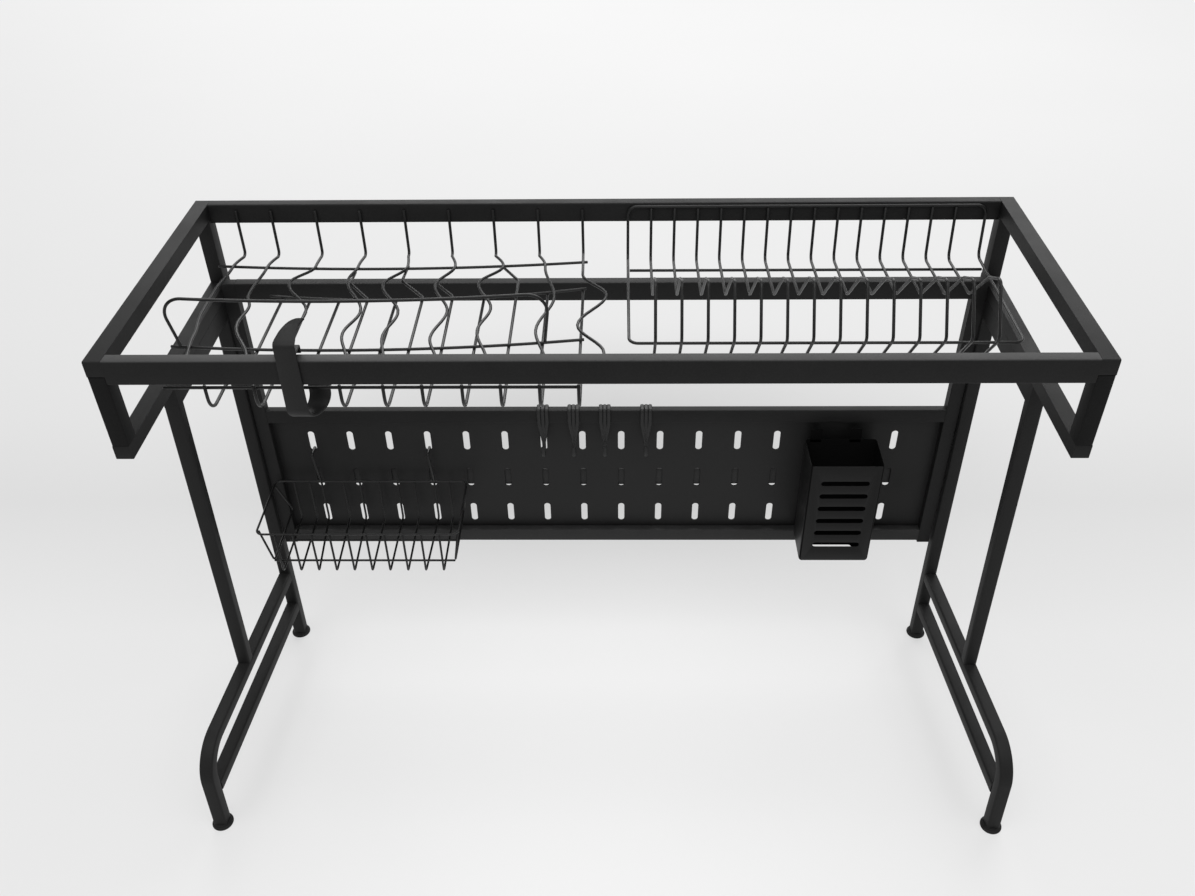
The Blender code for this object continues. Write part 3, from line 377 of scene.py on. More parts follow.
def weldBeads(wires, crossBars, radius, reach):
    parts = []
    for wire in wires:
        for bar in crossBars:
            pairs = (closest(*ends, *across) for ends in zip(wire, wire[1:]) for across in zip(bar, bar[1:]))
            found = [near for near in pairs if near]
            if found:
                distance, middle = min(found, key=lambda near: near[0])
                if distance < reach:
                    parts.append(bead(middle, radius))
    return parts


def roundedSection(width, depth, radius, steps):
    points = []
    for cornerX, cornerY, start in ((1, 1, 0), (-1, 1, 90), (-1, -1, 180), (1, -1, 270)):
        for step in range(steps + 1):
            angle = math.radians(start + 90 * step / steps)
            points.append((cornerX * (width / 2 - radius) + radius * math.cos(angle),
                           cornerY * (depth / 2 - radius) + radius * math.sin(angle)))
    return points


def prism(section, low, high):
    # a bar between two flat faces; low and high say where the section's points lie at each
    return lofted([[end(u, v) for u, v in section] for end in (low, high)])


# the square tube frame

tubes = {
    "edge": (0.0014, 3),                     # radius and steps of the long edges
    "seam": 0.0004, "hairSeam": 0.00001,     # how far the core that fills a joint stays inside its tube
    "flush": ("front_post_left", "front_post_right"), "flushFront": ("front_rail",), "flushShare": 0.95,
    "coats": {
        "front_rail": "railCoat", "panel_bottom_tube": "barCoat",
        "front_post_left": "postCoat", "front_post_right": "postCoat",
    },
    "joined": {     # each tube's axis, and whether its low end and its high end meet another tube
        "front_post": (2, 1, 1), "rear_post": (2, 1, 1), "front_rail": (0, 1, 1), "rear_rail": (0, 1, 1),
        "leg_top_tube": (2, 0, 1), "module_side_tube": (0, 1, 1), "lower_rear_rail": (0, 1, 1),
        "panel_top_tube": (0, 1, 1), "panel_bottom_tube": (0, 1, 1),
        "top_side_rail": (0, 0, 0), "lower_side_rail": (0, 0, 0),
    },
}


def straightTube(node, axis, lowReach, highReach):
    low, high = (Vector(corner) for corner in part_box(node))
    first, second = [i for i in range(3) if i != axis]
    middle, size = (low + high) / 2, high - low
    section = roundedSection(size[first], size[second], *tubes["edge"])
    seam = tubes["hairSeam"] if node in tubes["flush"] else tubes["seam"]
    inset = 1 - 2 * seam / min(size[first], size[second])
    core = [(u * inset, v * inset) for u, v in section]
    if node in tubes["flushFront"]:
        core = [(u - seam * tubes["flushShare"], v) for u, v in core]
    reach = rackSize["gap"] * rackSize["overlap"]

    def end(level):
        def point(u, v):
            spot = middle.copy()
            spot[axis], spot[first], spot[second] = level, middle[first] + u, middle[second] + v
            return spot
        return point

    parts = [prism(section, end(low[axis]), end(high[axis]))]
    for used, level, onward in ((lowReach, low[axis], -reach), (highReach, high[axis], reach)):
        if used:
            parts.append(prism(core, end(level - onward), end(level + onward)))
    makePiece(node, parts, tubes["coats"].get(node, "tubeCoat"))


for stem, (axis, lowReach, highReach) in tubes["joined"].items():
    for node in [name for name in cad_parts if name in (stem, stem + "_left", stem + "_right")]:
        straightTube(node, axis, lowReach, highReach)
print("frame tubes made")


# leg frames

legs = {
    "tubeWidth": 0.015, "frontDepth": 0.013, "rearDepth": 0.015,
    "topZ": -0.1251, "topBack": 0.286, "front": 0.1080,
    "footTubeZ": -0.508, "footTubeDepth": 0.014, "footTubeRadius": 0.039, "footTubeFront": -0.0135,
    "footY": -0.0205, "footTopZ": -0.6205,
    "stretcherZ": -0.5625, "stretcherHeight": 0.0145,
    "corner": (0.0022, 4),           # radius and steps of the long edges
    "footTubeDegrees": 4, "cutReach": 0.006,
    "splay": 0.003, "backLean": 0.004, "toeOut": 0.0792, "frontLean": 0.0084,
}


def legShare(z):
    return (legs["topZ"] - z) / (legs["topZ"] - legs["footTopZ"])


def buildLegFrame(side, sign):
    width, corner, floorTop = legs["tubeWidth"], legs["corner"], legs["footTopZ"]
    reach = rackSize["gap"] * rackSize["overlap"]
    middle = rackSize["innerX"] + width / 2
    rearFront, rearMiddle = legs["topBack"] - legs["rearDepth"], legs["topBack"] - legs["rearDepth"] / 2
    splayed = middle + legs["splay"] * legShare(legs["footTubeZ"])

    def sideX(y):
        return sign * (splayed + legs["toeOut"] * (rearFront - y))

    def tube(stem, part):
        makePiece(f"{stem}_{side}", [part], "tubeCoat")

    def leaning(stem, depth, low, high):
        section = roundedSection(width, depth, *corner)
        ends = [lambda u, v, end=place(*spot): end + Vector((u, v, 0)) for spot in (low, high)]
        tube(stem, prism(section, *ends))

    leaning("rear_leg", legs["rearDepth"], (sign * (middle + legs["splay"]), rearMiddle - legs["backLean"], floorTop),
            (sign * middle, rearMiddle, legs["topZ"]))
    highY = legs["front"] + legs["frontDepth"] / 2
    lowY = highY + legs["frontLean"]
    leaning("front_leg", legs["frontDepth"], (sideX(lowY), lowY, legs["footTubeZ"] - reach / 2),
            (sign * middle, highY, legs["topZ"]))

    level = legs["footTubeZ"] - legs["footTubeDepth"] / 2
    backEnd = rearFront - legs["backLean"] * legShare(level) + reach
    path = bent([((0, backEnd, level), 0), ((0, legs["footTubeFront"], level), legs["footTubeRadius"]),
                 ((0, legs["footY"], floorTop), 0)], legs["footTubeDegrees"])
    verts, faces = sweep(path, roundedSection(width, legs["footTubeDepth"], *corner), side=sideways)
    slope = (path[-1] - path[-2]).normalized()
    out = []
    for v in verts:
        if abs(v.z - floorTop) < legs["cutReach"] and v.y < 0:   # the lower end is cut level to sit on its glide
            v = v + slope * ((floorTop - v.z) / slope.z)
        out.append(place(v.x + sideX(v.y), v.y, v.z))
    tube("foot_tube", (out, faces))

    low, high = (end.y + rackSize["middleY"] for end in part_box("stretcher_" + side))
    section = roundedSection(width, legs["stretcherHeight"], *corner)
    z = legs["stretcherZ"] - legs["stretcherHeight"] / 2
    ends = [lambda u, v, y=y: place(sideX(y) + u, y, z + v) for y in (low - reach, high + reach)]
    tube("stretcher", prism(section, *ends))


for side, sign in (("left", -1), ("right", 1)):
    buildLegFrame(side, sign)
print("leg frames made")


# rubber glides

glides = {
    "steps": 48,
    "profile": (     # radius and height, from the neck down to the floor
        (0.0089, 0.0050), (0.0095, 0.0045), (0.0095, 0.0033), (0.0101, 0.0027), (0.0113, 0.0022),
        (0.0118, 0.0019), (0.0120, 0.0014), (0.0120, 0.0008), (0.01176, 0.00024), (0.0112, 0.0),
    ),
}


def buildGlide(node):
    low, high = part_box(node)
    centre = Vector(((low.x + high.x) / 2, (low.y + high.y) / 2, 0))
    rings = [[centre + Vector((x, y, z)) for x, y in circle(radius, glides["steps"])]
             for radius, z in glides["profile"]]
    makePiece(node, [lofted(rings)], "gripRubber")


for node in ("front_foot_left", "front_foot_right", "rear_foot_left", "rear_foot_right"):
    buildGlide(node)
print("glides made")


# slotted panel

panel = {
    "halfLength": 0.395, "top": -0.2625, "bottom": -0.4446, "front": 0.2853, "thickness": 0.0015,
    "columns": 16, "rows": 3, "pitchX": 0.79 / 17.044, "middleX": -0.0036, "pitchZ": 0.05655, "firstRow": 0.3025,
    "slotWidth": 0.0076, "slotHeight": 0.0280, "arcSteps": 12, "edge": 0.0003, "hem": 0.0065, "hemStep": 0.0009,
    "barTop": 0.3465, "barHeight": 0.024, "barDepth": 0.012, "barY": 0.2931, "sag": 0.0025, "barSteps": 40,
}


def slotX(column):
    return panel["middleX"] + (column - (panel["columns"] - 1) / 2) * panel["pitchX"]


def obround(x, z, width, height, steps):
    # a slot with round ends
    radius = min(width, height) / 2
    reach = Vector((width / 2 - radius, height / 2 - radius))
    first = 0 if height > width else -90
    points = []
    for end, turned in ((1, 0), (-1, 180)):
        for step in range(steps + 1):
            angle = math.radians(first + turned + 180 * step / steps)
            points.append(Vector((x, z)) + reach * end + Vector((math.cos(angle), math.sin(angle))) * radius)
    return points


def plateOf(outlines, thickness, edge):
    # a flat plate with holes: the outline is drawn as X and Z, and its front face is at Y = 0
    data = bpy.data.curves.new("outline", "CURVE")
    data.dimensions = "2D"
    data.fill_mode = "BOTH"
    for points in outlines:
        spline = data.splines.new("POLY")
        spline.points.add(len(points) - 1)
        for target, point in zip(spline.points, points):
            target.co = (point[0], point[1], 0, 1)
        spline.use_cyclic_u = True
    data.extrude = thickness / 2 - edge
    data.bevel_depth = edge
    data.bevel_resolution = 1
    data.offset = -edge
    verts, faces = shapeOf(linked("outline", data))
    return [Vector((v.x, thickness / 2 - v.z, v.y)) for v in verts], faces


def buildPanel():
    p = panel
    half = p["halfLength"] + rackSize["gap"]
    outlines = [[(-half, p["bottom"]), (half, p["bottom"]), (half, p["top"]), (-half, p["top"])]]
    for row in range(p["rows"]):
        z = -p["firstRow"] - row * p["pitchZ"]
        for column in range(p["columns"]):
            outlines.append(obround(slotX(column), z, p["slotWidth"], p["slotHeight"], p["arcSteps"]))
    verts, faces = plateOf(outlines, p["thickness"], p["edge"])
    front = p["front"] - rackSize["gap"]
    verts = [place(v.x, v.y + front, v.z) for v in verts]
    low, high, hem, edge = front - p["hemStep"], front + p["thickness"] / 2, -p["hem"], p["edge"]
    section = [(low + edge, hem), (high, hem), (high, 0), (low, 0), (low, hem + edge)]
    ends = [lambda u, v, x=x: place(x, u, p["top"] + v) for x in (-half, half)]
    makePiece("slotted_panel", [(verts, faces), prism(section, *ends)], "sheetCoat", sharpAngle=50)
    points = []
    for step in range(p["barSteps"] + 1):
        x = half * (2 * step / p["barSteps"] - 1)
        drop = p["sag"] * math.cos(math.pi * x / (2 * half)) ** 2
        points.append(place(x, p["barY"], -p["barTop"] - p["barHeight"] / 2 - drop))
    section = roundedSection(p["barDepth"], p["barHeight"], *tubes["edge"])
    makePiece("panel_crossbar", [sweep(points, section, side=Vector((0, 1, 0)))], "barCoat")


buildPanel()
print("slotted panel made")


# bowl rack

bowlRack = {
    "wireRadius": 0.0015, "weld": 0.0006, "beadRadius": 0.0019,
    "backY": 0.2918, "frontY": 0.0138, "top": 0.006, "level": 0.056, "bend": 0.0045,
    "firstX": -0.381, "lastX": -0.0205, "pitch": 0.3605 / 7.786, "waveReach": 0.3605 / 7.786 * 0.432,
    "waveStart": 0.935, "waveSteps": 8,
    "waves": (   # the turning points of each wavy wire, as shares of the depth and of the sideways reach
        ((0.86, -0.28), (0.70, -0.50), (0.56, -0.50), (0.42, -0.25), (0.275, 0.0)),
        ((0.86, -0.28), (0.68, -0.50), (0.59, -0.14), (0.50, -0.30), (0.275, 1.0)),
        ((0.86, -0.07), (0.755, -1.04), (0.56, 0.47), (0.42, 0.30), (0.275, 0.40)),
        ((0.86, -0.15), (0.775, -0.40), (0.56, 0.83), (0.435, 0.35), (0.275, 0.95)),
        ((0.86, 0.13), (0.74, -0.83), (0.55, 0.38), (0.42, -0.02), (0.275, 0.35)),
        ((0.86, 0.30), (0.735, -0.48), (0.56, 0.45), (0.41, -0.06), (0.275, 0.45)),
        ((0.86, 0.50), (0.745, -0.60), (0.58, 0.24), (0.45, -0.22), (0.275, 0.45)),
        ((0.86, 0.37), (0.65, 0.99), (0.45, 0.25), (0.275, 0.80)),
        ((0.80, 0.03), (0.665, 1.27), (0.48, -0.09), (0.32, 1.20), (0.275, 1.22)),
    ),
    "longLeft": -0.404, "longRight": -0.0155, "middleLeft": -0.815,
    "rearLine": (0.8606, 0.010, 0.003), "middleLine": (0.6545, 0.022, 0.0), "frontLine": (0.3567, 0.012, 0.005),
    "tray": (    # each straight wire's place at the back and at its lip, as shares of the inner half width
        (-0.046, -0.041), (-0.133, -0.122), (-0.210, -0.203), (-0.288, -0.283), (-0.362, -0.366), (-0.437, -0.447),
        (-0.502, -0.537), (-0.572, -0.590), (-0.642, -0.650), (-0.714, -0.716), (-0.784, -0.818),
    ),
    "branches": {    # the tray wires that start beside a wave, and where they turn
        2: ((-0.252, 0.884), (-0.210, 0.795)),
        4: ((-0.410, 0.767), (-0.366, 0.692)),
        5: ((-0.499, 0.900), (-0.504, 0.795), (-0.439, 0.686)),
        7: ((-0.630, 0.857), (-0.632, 0.779), (-0.573, 0.674)),
    },
    "branchBend": 0.009, "overrun": 0.001, "shortWire": 7, "shortEnd": 0.105,
    "turnBack": 0.327, "turnFront": 0.18, "lipBend": 0.015, "lipTip": 0.033, "lipDepth": 0.037, "lipLeft": -0.907,
    "fenceRight": -0.046, "fenceTop": 0.005, "fenceBend": 0.020, "fenceSlants": (0.010, 0.006), "fenceFront": 0.003,
    "fenceClear": 1.6,       # how many bends the straight part stays away from either end
}


def lineY(line, x):
    share = 2 * (x - bowlRack["longLeft"]) / (bowlRack["longRight"] - bowlRack["longLeft"]) - 1
    return rackSize["depth"] * line[0] + line[1] * share * share + line[2] * share


def smoothLine(points, each=4):
    # a soft curve through the points
    out = []
    for i, (b, c) in enumerate(zip(points, points[1:])):
        a, d = points[max(i - 1, 0)], points[min(i + 2, len(points) - 1)]
        for step in range(each):
            t = step / each
            out.append(0.5 * (2 * b + (c - a) * t + (2 * a - 5 * b + 4 * c - d) * t * t
                              + (3 * b - a - 3 * c + d) * t ** 3))
    return out + [points[-1]]


def longWire(left, right, line, z, forward=0.0, steps=8):
    xs = [left + (right - left) * step / steps for step in range(steps + 1)]
    return smoothLine([Vector((x, lineY(line, x) - forward, z)) for x in xs])


def crossings(rack):
    # how far apart two crossing wires lie: welded into one another, and one set against the other
    return 2 * rack["wireRadius"] - rack["weld"], 2 * rack["wireRadius"] + rackSize["gap"]


def wireSet(node, body, rack, wires, bars, closedBars=()):
    radius = rack["wireRadius"]
    wires, bars = [placed(path) for path in wires], [placed(path) for path in bars]
    parts = [wirePart(path, radius) for path in wires + bars]
    parts += [wirePart(placed(path), radius, closed=True) for path in closedBars]
    parts += weldBeads(wires, bars, rack["beadRadius"], 2 * radius)
    makePiece(node, parts, "wireCoat", body, sharpAngle=60)


def wavyWire(index):
    rack, depth = bowlRack, rackSize["depth"]
    x = rack["lastX"] - (len(rack["waves"]) - 1 - index) * rack["pitch"] if index else rack["firstX"]
    start, level = depth * rack["waveStart"], -rack["level"]
    path = bent([((x, rack["backY"], -rack["top"]), 0), ((x, rack["backY"], level), rack["bend"]),
                 ((x, start, level), 0)])
    fromY, fromSide = start, 0.0
    for placeShare, sideShare in rack["waves"][index]:
        toY, toSide = depth * placeShare, rack["waveReach"] * sideShare
        for step in range(1, rack["waveSteps"] + 1):
            share = step / rack["waveSteps"]
            ease = math.sin(math.pi * share / 2) if fromY == start else (1 - math.cos(math.pi * share)) / 2
            path.append(Vector((x + fromSide + (toSide - fromSide) * ease, fromY + (toY - fromY) * share, level)))
        fromY, fromSide = toY, toSide
    return path


def trayWire(index):
    rack, depth, inner = bowlRack, rackSize["depth"], rackSize["innerX"]
    step, rest = crossings(rack)
    level = -rack["level"] - step - rest
    backX, lipX = (share * inner for share in rack["tray"][index])
    if index in rack["branches"]:
        corners = [((xs * inner, ys * depth, level), rack["branchBend"]) for xs, ys in rack["branches"][index]]
        corners[0] = (corners[0][0], 0)
    else:
        corners = [((backX, lineY(rack["middleLine"], backX) + rack["overrun"], level), 0)]
    corners += [((backX, depth * rack["turnBack"], level), 0), ((lipX, depth * rack["turnFront"], level), 0)]
    if index == rack["shortWire"]:
        corners.append(((lipX, depth * rack["shortEnd"], level), 0))
    else:
        corners += [((lipX, rack["frontY"], level), rack["lipBend"]), ((lipX, rack["frontY"], -rack["lipTip"]), 0)]
    return bent(corners)


def buildBowlRack():
    rack, frontLine = bowlRack, bowlRack["frontLine"]
    left, right, bend = rack["longLeft"], rack["longRight"], rack["fenceBend"]
    step, rest = crossings(rack)
    rear = longWire(left, right, rack["rearLine"], -rack["level"] - step)
    waves = [wavyWire(index) for index in range(len(rack["waves"]))]
    wireSet("bowl_rack_dividers", "bowl_rack", rack, waves, [rear])
    level = -rack["level"] - rest
    middle = longWire(rack["middleLeft"] * rackSize["innerX"], right, rack["middleLine"], level)
    front = longWire(left, right, frontLine, level)
    lip = [Vector((x, rack["frontY"] + step, -rack["lipDepth"])) for x in (rack["lipLeft"] * rackSize["innerX"], right)]
    tray = [trayWire(index) for index in range(len(rack["tray"]))]
    wireSet("bowl_rack_tray", "bowl_rack", rack, tray, [middle, front, lip])
    top = longWire(left, rack["fenceRight"], frontLine, -rack["fenceTop"], rack["fenceFront"])
    first, last = top[0], top[-1]
    feet = [(x, lineY(frontLine, x), level + rack["wireRadius"] + rackSize["gap"])
            for x in (left + rack["fenceSlants"][0], rack["fenceRight"] - rack["fenceSlants"][1])]
    along = [(p, 0) for p in top if min((p - first).length, (p - last).length) > bend * rack["fenceClear"]]
    fence = bent([(feet[0], 0), (first, bend)] + along + [(last, bend), (feet[1], 0)])
    wireSet("bowl_rack_fence", "bowl_rack", rack, [fence], [])


buildBowlRack()
print("bowl rack made")


# plate rack

plateRack = {
    "wireRadius": 0.0015, "weld": 0.0006, "beadRadius": 0.0019,
    "firstX": 0.0267, "lastX": 0.395, "wires": 14, "lastGap": 1.282,
    "top": 0.003, "level": 0.0585, "floor": 0.061, "backY": 0.2918, "bendBack": 0.285, "front": 0.3861,
    "corner": 0.009, "bend": 0.008, "rearWire": 0.8573,
    "profile": (     # share of the depth, level and bend at each turn of a divider
        (0.66, -0.0555, 0.014), (0.522, -0.013, 0.010), (0.43, 0.0008, 0.008), (0.3321, -0.0455, 0.007),
        (0.4565, -0.0925, 0),
    ),
}


def buildPlateRack():
    rack, depth = plateRack, rackSize["depth"]
    left, right, reach = rack["firstX"], rack["lastX"], rack["wireRadius"] + rackSize["gap"]
    pitch = (right - left) / (rack["wires"] + rack["lastGap"])
    side = [(rack["backY"], -rack["top"], rack["corner"]), (rack["bendBack"], -rack["level"], rack["bend"]),
            (rack["front"] * depth, -rack["level"], rack["corner"])]
    loop = [((left, y, z), r) for y, z, r in side] + [((right, y, z), r) for y, z, r in side[::-1]]
    wireSet("plate_rack_frame", "plate_rack", rack, [], [], [bent(loop)])
    barY, barZ = rack["rearWire"] * depth, -rack["level"] - crossings(rack)[0]
    bar = [Vector((x, barY, barZ)) for x in (left + reach, right - reach)]
    wires = []
    for index in range(rack["wires"]):
        x = left + (index + 1) * pitch
        corners = [((x, rack["backY"], -rack["top"] - reach), 0), ((x, rack["bendBack"], -rack["floor"]), rack["bend"])]
        wires.append(bent(corners + [((x, share * depth, z), bend) for share, z, bend in rack["profile"]]))
    wireSet("plate_rack_dividers", "plate_rack", rack, wires, [bar])


buildPlateRack()
print("plate rack made")


# wire basket

basket = {
    "wireRadius": 0.00125, "weld": 0.0006, "beadRadius": 0.0016,
    "back": 0.27345, "depth": 0.0955, "top": -0.356, "height": 0.0585, "corner": 0.008,
    "pitches": 5.05, "shift": -0.0038, "slots": (0, 3),
    "ribs": 10, "ribShare": 0.0904, "railDrop": 0.0430, "endLean": (0.0135, 0.007), "bottomWire": 0.0445,
    "bottomShort": 0.004,
    "ribDrift": (0, -0.002, -0.0085, -0.003, -0.004, -0.0015, 0, -0.001, 0.0026, -0.0007),
    "hookRadius": 0.0016, "hookDrift": 0.0037,
    "hookDrop": 0.009, "hookBend": 0.003, "ribBend": 0.004,
    "sheetBack": 0.2868, "slotSill": 0.3164,
}


def buildBasket():
    b, reach = basket, basket["wireRadius"] + rackSize["gap"]
    length = panel["pitchX"] * b["pitches"]
    half = length / 2
    slots = [slotX(column) for column in b["slots"]]
    middle = sum(slots) / 2 + b["shift"]
    back, front, top = b["back"], b["back"] - b["depth"], b["top"]
    rim = [((middle + x, y, top), b["corner"]) for x, y in ((-half, back), (-half, front), (half, front), (half, back))]
    sill, behind = -b["slotSill"] + reach, b["sheetBack"] + rackSize["gap"] + b["hookBend"]
    parts = []
    for x in slots:
        hook = bent([((x + b["hookDrift"], back, top), 0), ((x, back, sill), b["hookBend"]),
                     ((x, behind, sill), b["hookBend"]), ((x, behind, sill - b["hookDrop"]), 0)])
        parts.append(wirePart(placed(hook), b["hookRadius"]))
    parts.append(wirePart(placed(bent(rim)), b["wireRadius"], closed=True))
    makePiece("wire_basket_rim", parts, "wireCoat", "wire_basket", sharpAngle=60)
    bottom, ribTop, railZ = top - b["height"], top - reach, top - b["railDrop"]
    weld, bend = crossings(b)[0], b["ribBend"]
    left, right = middle - half + b["endLean"][0], middle + half - b["endLean"][1]
    rails = [[Vector((x, front + weld, railZ)) for x in (left, right)],
             [Vector((x, back - b["bottomWire"], bottom + weld))
              for x in (left + b["bottomShort"], right - b["bottomShort"])]]
    ribs = []
    for index, drift in enumerate(b["ribDrift"]):
        x = middle + (index - (b["ribs"] - 1) / 2) * b["ribShare"] * length
        ribs.append(bent([((x + drift, back, ribTop), 0), ((x + drift, back, bottom), bend),
                          ((x, front, bottom), bend), ((x, front, ribTop), 0)]))
    for sign, lowX in ((-1, left), (1, right)):
        highX = middle + sign * (half - b["wireRadius"])
        ribs.append(bent([((highX, front + b["corner"], ribTop), 0), ((lowX, front + weld, railZ), bend),
                          ((lowX, back - weld, railZ), bend), ((highX, back - b["corner"], ribTop), 0)]))
    wireSet("wire_basket_ribs", "wire_basket", b, ribs, rails)


buildBasket()
print("wire basket made")


# cutlery holder

holder = {
    "width": 0.084, "depth": 0.0525, "height": 0.1485, "top": -0.2925, "back": 0.2747, "shift": 0.004,
    "wall": 0.0011, "corner": 0.004, "cornerSteps": 6,
    # how far in from the outside, and how far above the bottom or, for the rim, below the top
    "foot": ((0.003, 0.0), (0.00105, 0.00075), (0.0, 0.003)), "inside": ((0.0011, 0.0029), (0.0029, 0.0011)),
    "rim": ((0.0, 0.0004), (0.00012, 0.00012), (0.0004, 0.0), (0.0007, 0.0), (0.00098, 0.00012), (0.0011, 0.0004)),
    "slots": 6, "slotWidth": 0.056, "slotHeight": 0.0070, "slotPitch": 0.0191, "firstSlot": 0.0255, "arcSteps": 10,
    "drainWidth": 0.052, "drainDepth": 0.0065, "drainBack": 0.0265,
    "slotCut": 3, "drainCut": 5,     # how deep the cuts go, in walls
    "edge": 0.0003, "edgeAngle": 60, "edgeSteps": 2, "insideInset": 0.3, "insideSoft": 0.4,
    "earWidth": 0.0135, "earShift": -0.0026, "earLevels": (-0.004, 0.0138, 0.0150), "earTip": 0.8,
    "tabSlots": (13, 14), "tabWidth": 0.0042, "tabThickness": 0.0018, "tabDrop": 0.008, "tabBend": 0.0011,
    "tabEdge": 0.0004,
}


def slottedBox(middle):
    # the open box with its folded foot and rolled rim, its slots and the drain cut out
    h = holder
    wall, top, centreY, bottom = h["wall"], h["top"], h["back"] - h["depth"] / 2, h["top"] - h["height"]
    rings = []
    levels = [(inset, bottom + up) for inset, up in h["foot"]] + [(inset, top - down) for inset, down in h["rim"]]
    for inset, z in levels + [(inset, bottom + up) for inset, up in h["inside"]]:
        size = (h["width"] - 2 * inset, h["depth"] - 2 * inset, h["corner"] - inset)
        rings.append([place(middle + u, centreY + v, z) for u, v in roundedSection(*size, h["cornerSteps"])])
    shell = solid("holderShell", [lofted(rings)])
    heights = [top - h["firstSlot"] - index * h["slotPitch"] for index in range(h["slots"])]
    outlines = [obround(middle, z, h["slotWidth"], h["slotHeight"], h["arcSteps"]) for z in heights]
    verts, faces = plateOf(outlines, wall * h["slotCut"], 0.0)
    slots = ([place(v.x, v.y + h["back"] - h["depth"] - wall, v.z) for v in verts], faces)
    drain = obround(middle, 0, h["drainWidth"], h["drainDepth"], h["arcSteps"])
    verts, faces = plateOf([drain], wall * h["drainCut"], 0.0)
    drainY, drainTop = h["back"] - h["drainBack"], bottom + wall / 2 + wall * h["drainCut"] / 2
    drain = ([place(v.x, drainY + v.z, drainTop - v.y) for v in verts], faces)
    cuts = solid("holderCuts", [slots, drain], merge=0.00001)
    cut = shell.modifiers.new("slots", "BOOLEAN")
    cut.operation, cut.solver, cut.object = "DIFFERENCE", "EXACT", cuts
    soften = shell.modifiers.new("edges", "BEVEL")
    soften.width, soften.segments, soften.limit_method = h["edge"], h["edgeSteps"], "ANGLE"
    soften.angle_limit = math.radians(h["edgeAngle"])
    bpy.context.view_layer.update()
    box = shapeOf(shell)
    bpy.data.objects.remove(cuts, do_unlink=True)
    return box


def buildHolder():
    h, gap = holder, rackSize["gap"]
    slots = [slotX(column) for column in h["tabSlots"]]
    middle = sum(slots) / 2 + h["shift"]
    wall, thick, slotRadius = h["wall"], h["tabThickness"], panel["slotWidth"] / 2
    wallY, tabY = h["back"] - wall / 2, basket["sheetBack"] + gap + thick / 2
    under = -basket["slotSill"] + slotRadius - math.sqrt(slotRadius ** 2 - h["tabWidth"] ** 2 / 4) + gap
    parts = [slottedBox(middle)]
    for x in slots:
        tab = bent([((x, wallY, under + thick / 2), 0), ((x, tabY, under + thick / 2), h["tabBend"]),
                    ((x, tabY, under - h["tabDrop"]), 0)])
        section = roundedSection(h["tabWidth"], thick, h["tabEdge"], h["edgeSteps"])
        parts.append(sweep(placed(tab), section, side=sideways))
        earX, section = x + h["earShift"], roundedSection(h["earWidth"], wall, h["edge"], h["edgeSteps"])
        verts, faces = sweep([place(earX, wallY, h["top"] + lift) for lift in h["earLevels"]], section, side=sideways)
        tip = [Vector((earX + (v.x - earX) * h["earTip"], v.y, v.z)) for v in verts[-len(section):]]
        parts.append((verts[:-len(section)] + tip, faces))
    low, high = place(middle - h["width"] / 2, h["back"] - h["depth"], 0), place(middle + h["width"] / 2, h["back"], 0)
    inset = Vector((wall, wall, 0)) * h["insideInset"]
    # painted shade on the holder's inside faces
    paintedShadeInside(coats["holderCoat"], low + inset, high - inset, wall * h["insideSoft"])
    makePiece("cutlery_holder", parts, "holderCoat", "cutlery_holder_body", sharpAngle=45)


buildHolder()
print("cutlery holder made")


# hooks on the panel's top tube

hooks = {
    "wireRadius": 0.0012, "wide": 1.9, "sides": 14, "chamferShare": 0.3,
    "beadRadius": 0.0015, "beadFlat": 1.6, "beadRise": 0.001,
    "panelFront": 0.275, "tubeDepth": 0.010, "panelTop": -0.2515,
    "spread": 0.0046, "backDrop": 0.009, "join": 0.045, "spreadEnd": 0.016, "spreadBend": 0.006,
    "bottom": 0.0565, "turn": 0.008, "turnShare": 0.98, "tipRise": 0.009, "corner": 0.003,
    "bridgeShare": 0.8, "bridgeSides": 10,
    "places": (-0.182, -0.0915, 0.001, 0.123),
}


def buildHook(number, share):
    h = hooks
    x, radius, panelTop = share * panel["halfLength"], h["wireRadius"], h["panelTop"]
    reach = radius + rackSize["gap"]
    front, back = h["panelFront"] - reach, h["panelFront"] + h["tubeDepth"] + reach
    top, bottom, tipY = panelTop + reach, panelTop - h["bottom"], front - 2 * h["turn"]
    over = [((back, panelTop - h["backDrop"]), 0), ((back, top), h["corner"]), ((front, top), h["corner"])]
    turn, sides = h["turn"] * h["turnShare"], (x - h["spread"], x + h["spread"])
    centre = over + [((front, bottom), turn), ((tipY, bottom), turn), ((tipY, bottom + h["turn"] + h["tipRise"]), 0)]
    wires = [bent([((x, y, z), r) for (y, z), r in centre])]
    for sideX in sides:
        corners = [((sideX, y, z), r) for (y, z), r in over]
        corners += [((sideX, front, panelTop - h["spreadEnd"]), h["spreadBend"]), ((x, front, panelTop - h["join"]), 0)]
        wires.append(bent(corners))
    bridge = [(sideX, (front + back) / 2, top) for sideX in sides]
    section = [(u * h["wide"], v) for u, v in circle(radius, h["sides"])]
    chamfer = radius * h["chamferShare"]
    parts = [sweep(trimEnds(placed(path), chamfer), section, side=sideways, chamfer=chamfer) for path in wires]
    parts.append(wirePart(placed(bridge), radius * h["bridgeShare"], h["bridgeSides"]))
    parts.append(bead(place(x, front, panelTop - h["join"] + h["beadRise"]), h["beadRadius"], h["beadFlat"]))
    makePiece(f"hook_{number}", parts, "hookCoat", f"hook_{number}_body", sharpAngle=60)


for number, share in enumerate(hooks["places"], 1):
    buildHook(number, share)
print("hooks made")


# band hook on the front rail

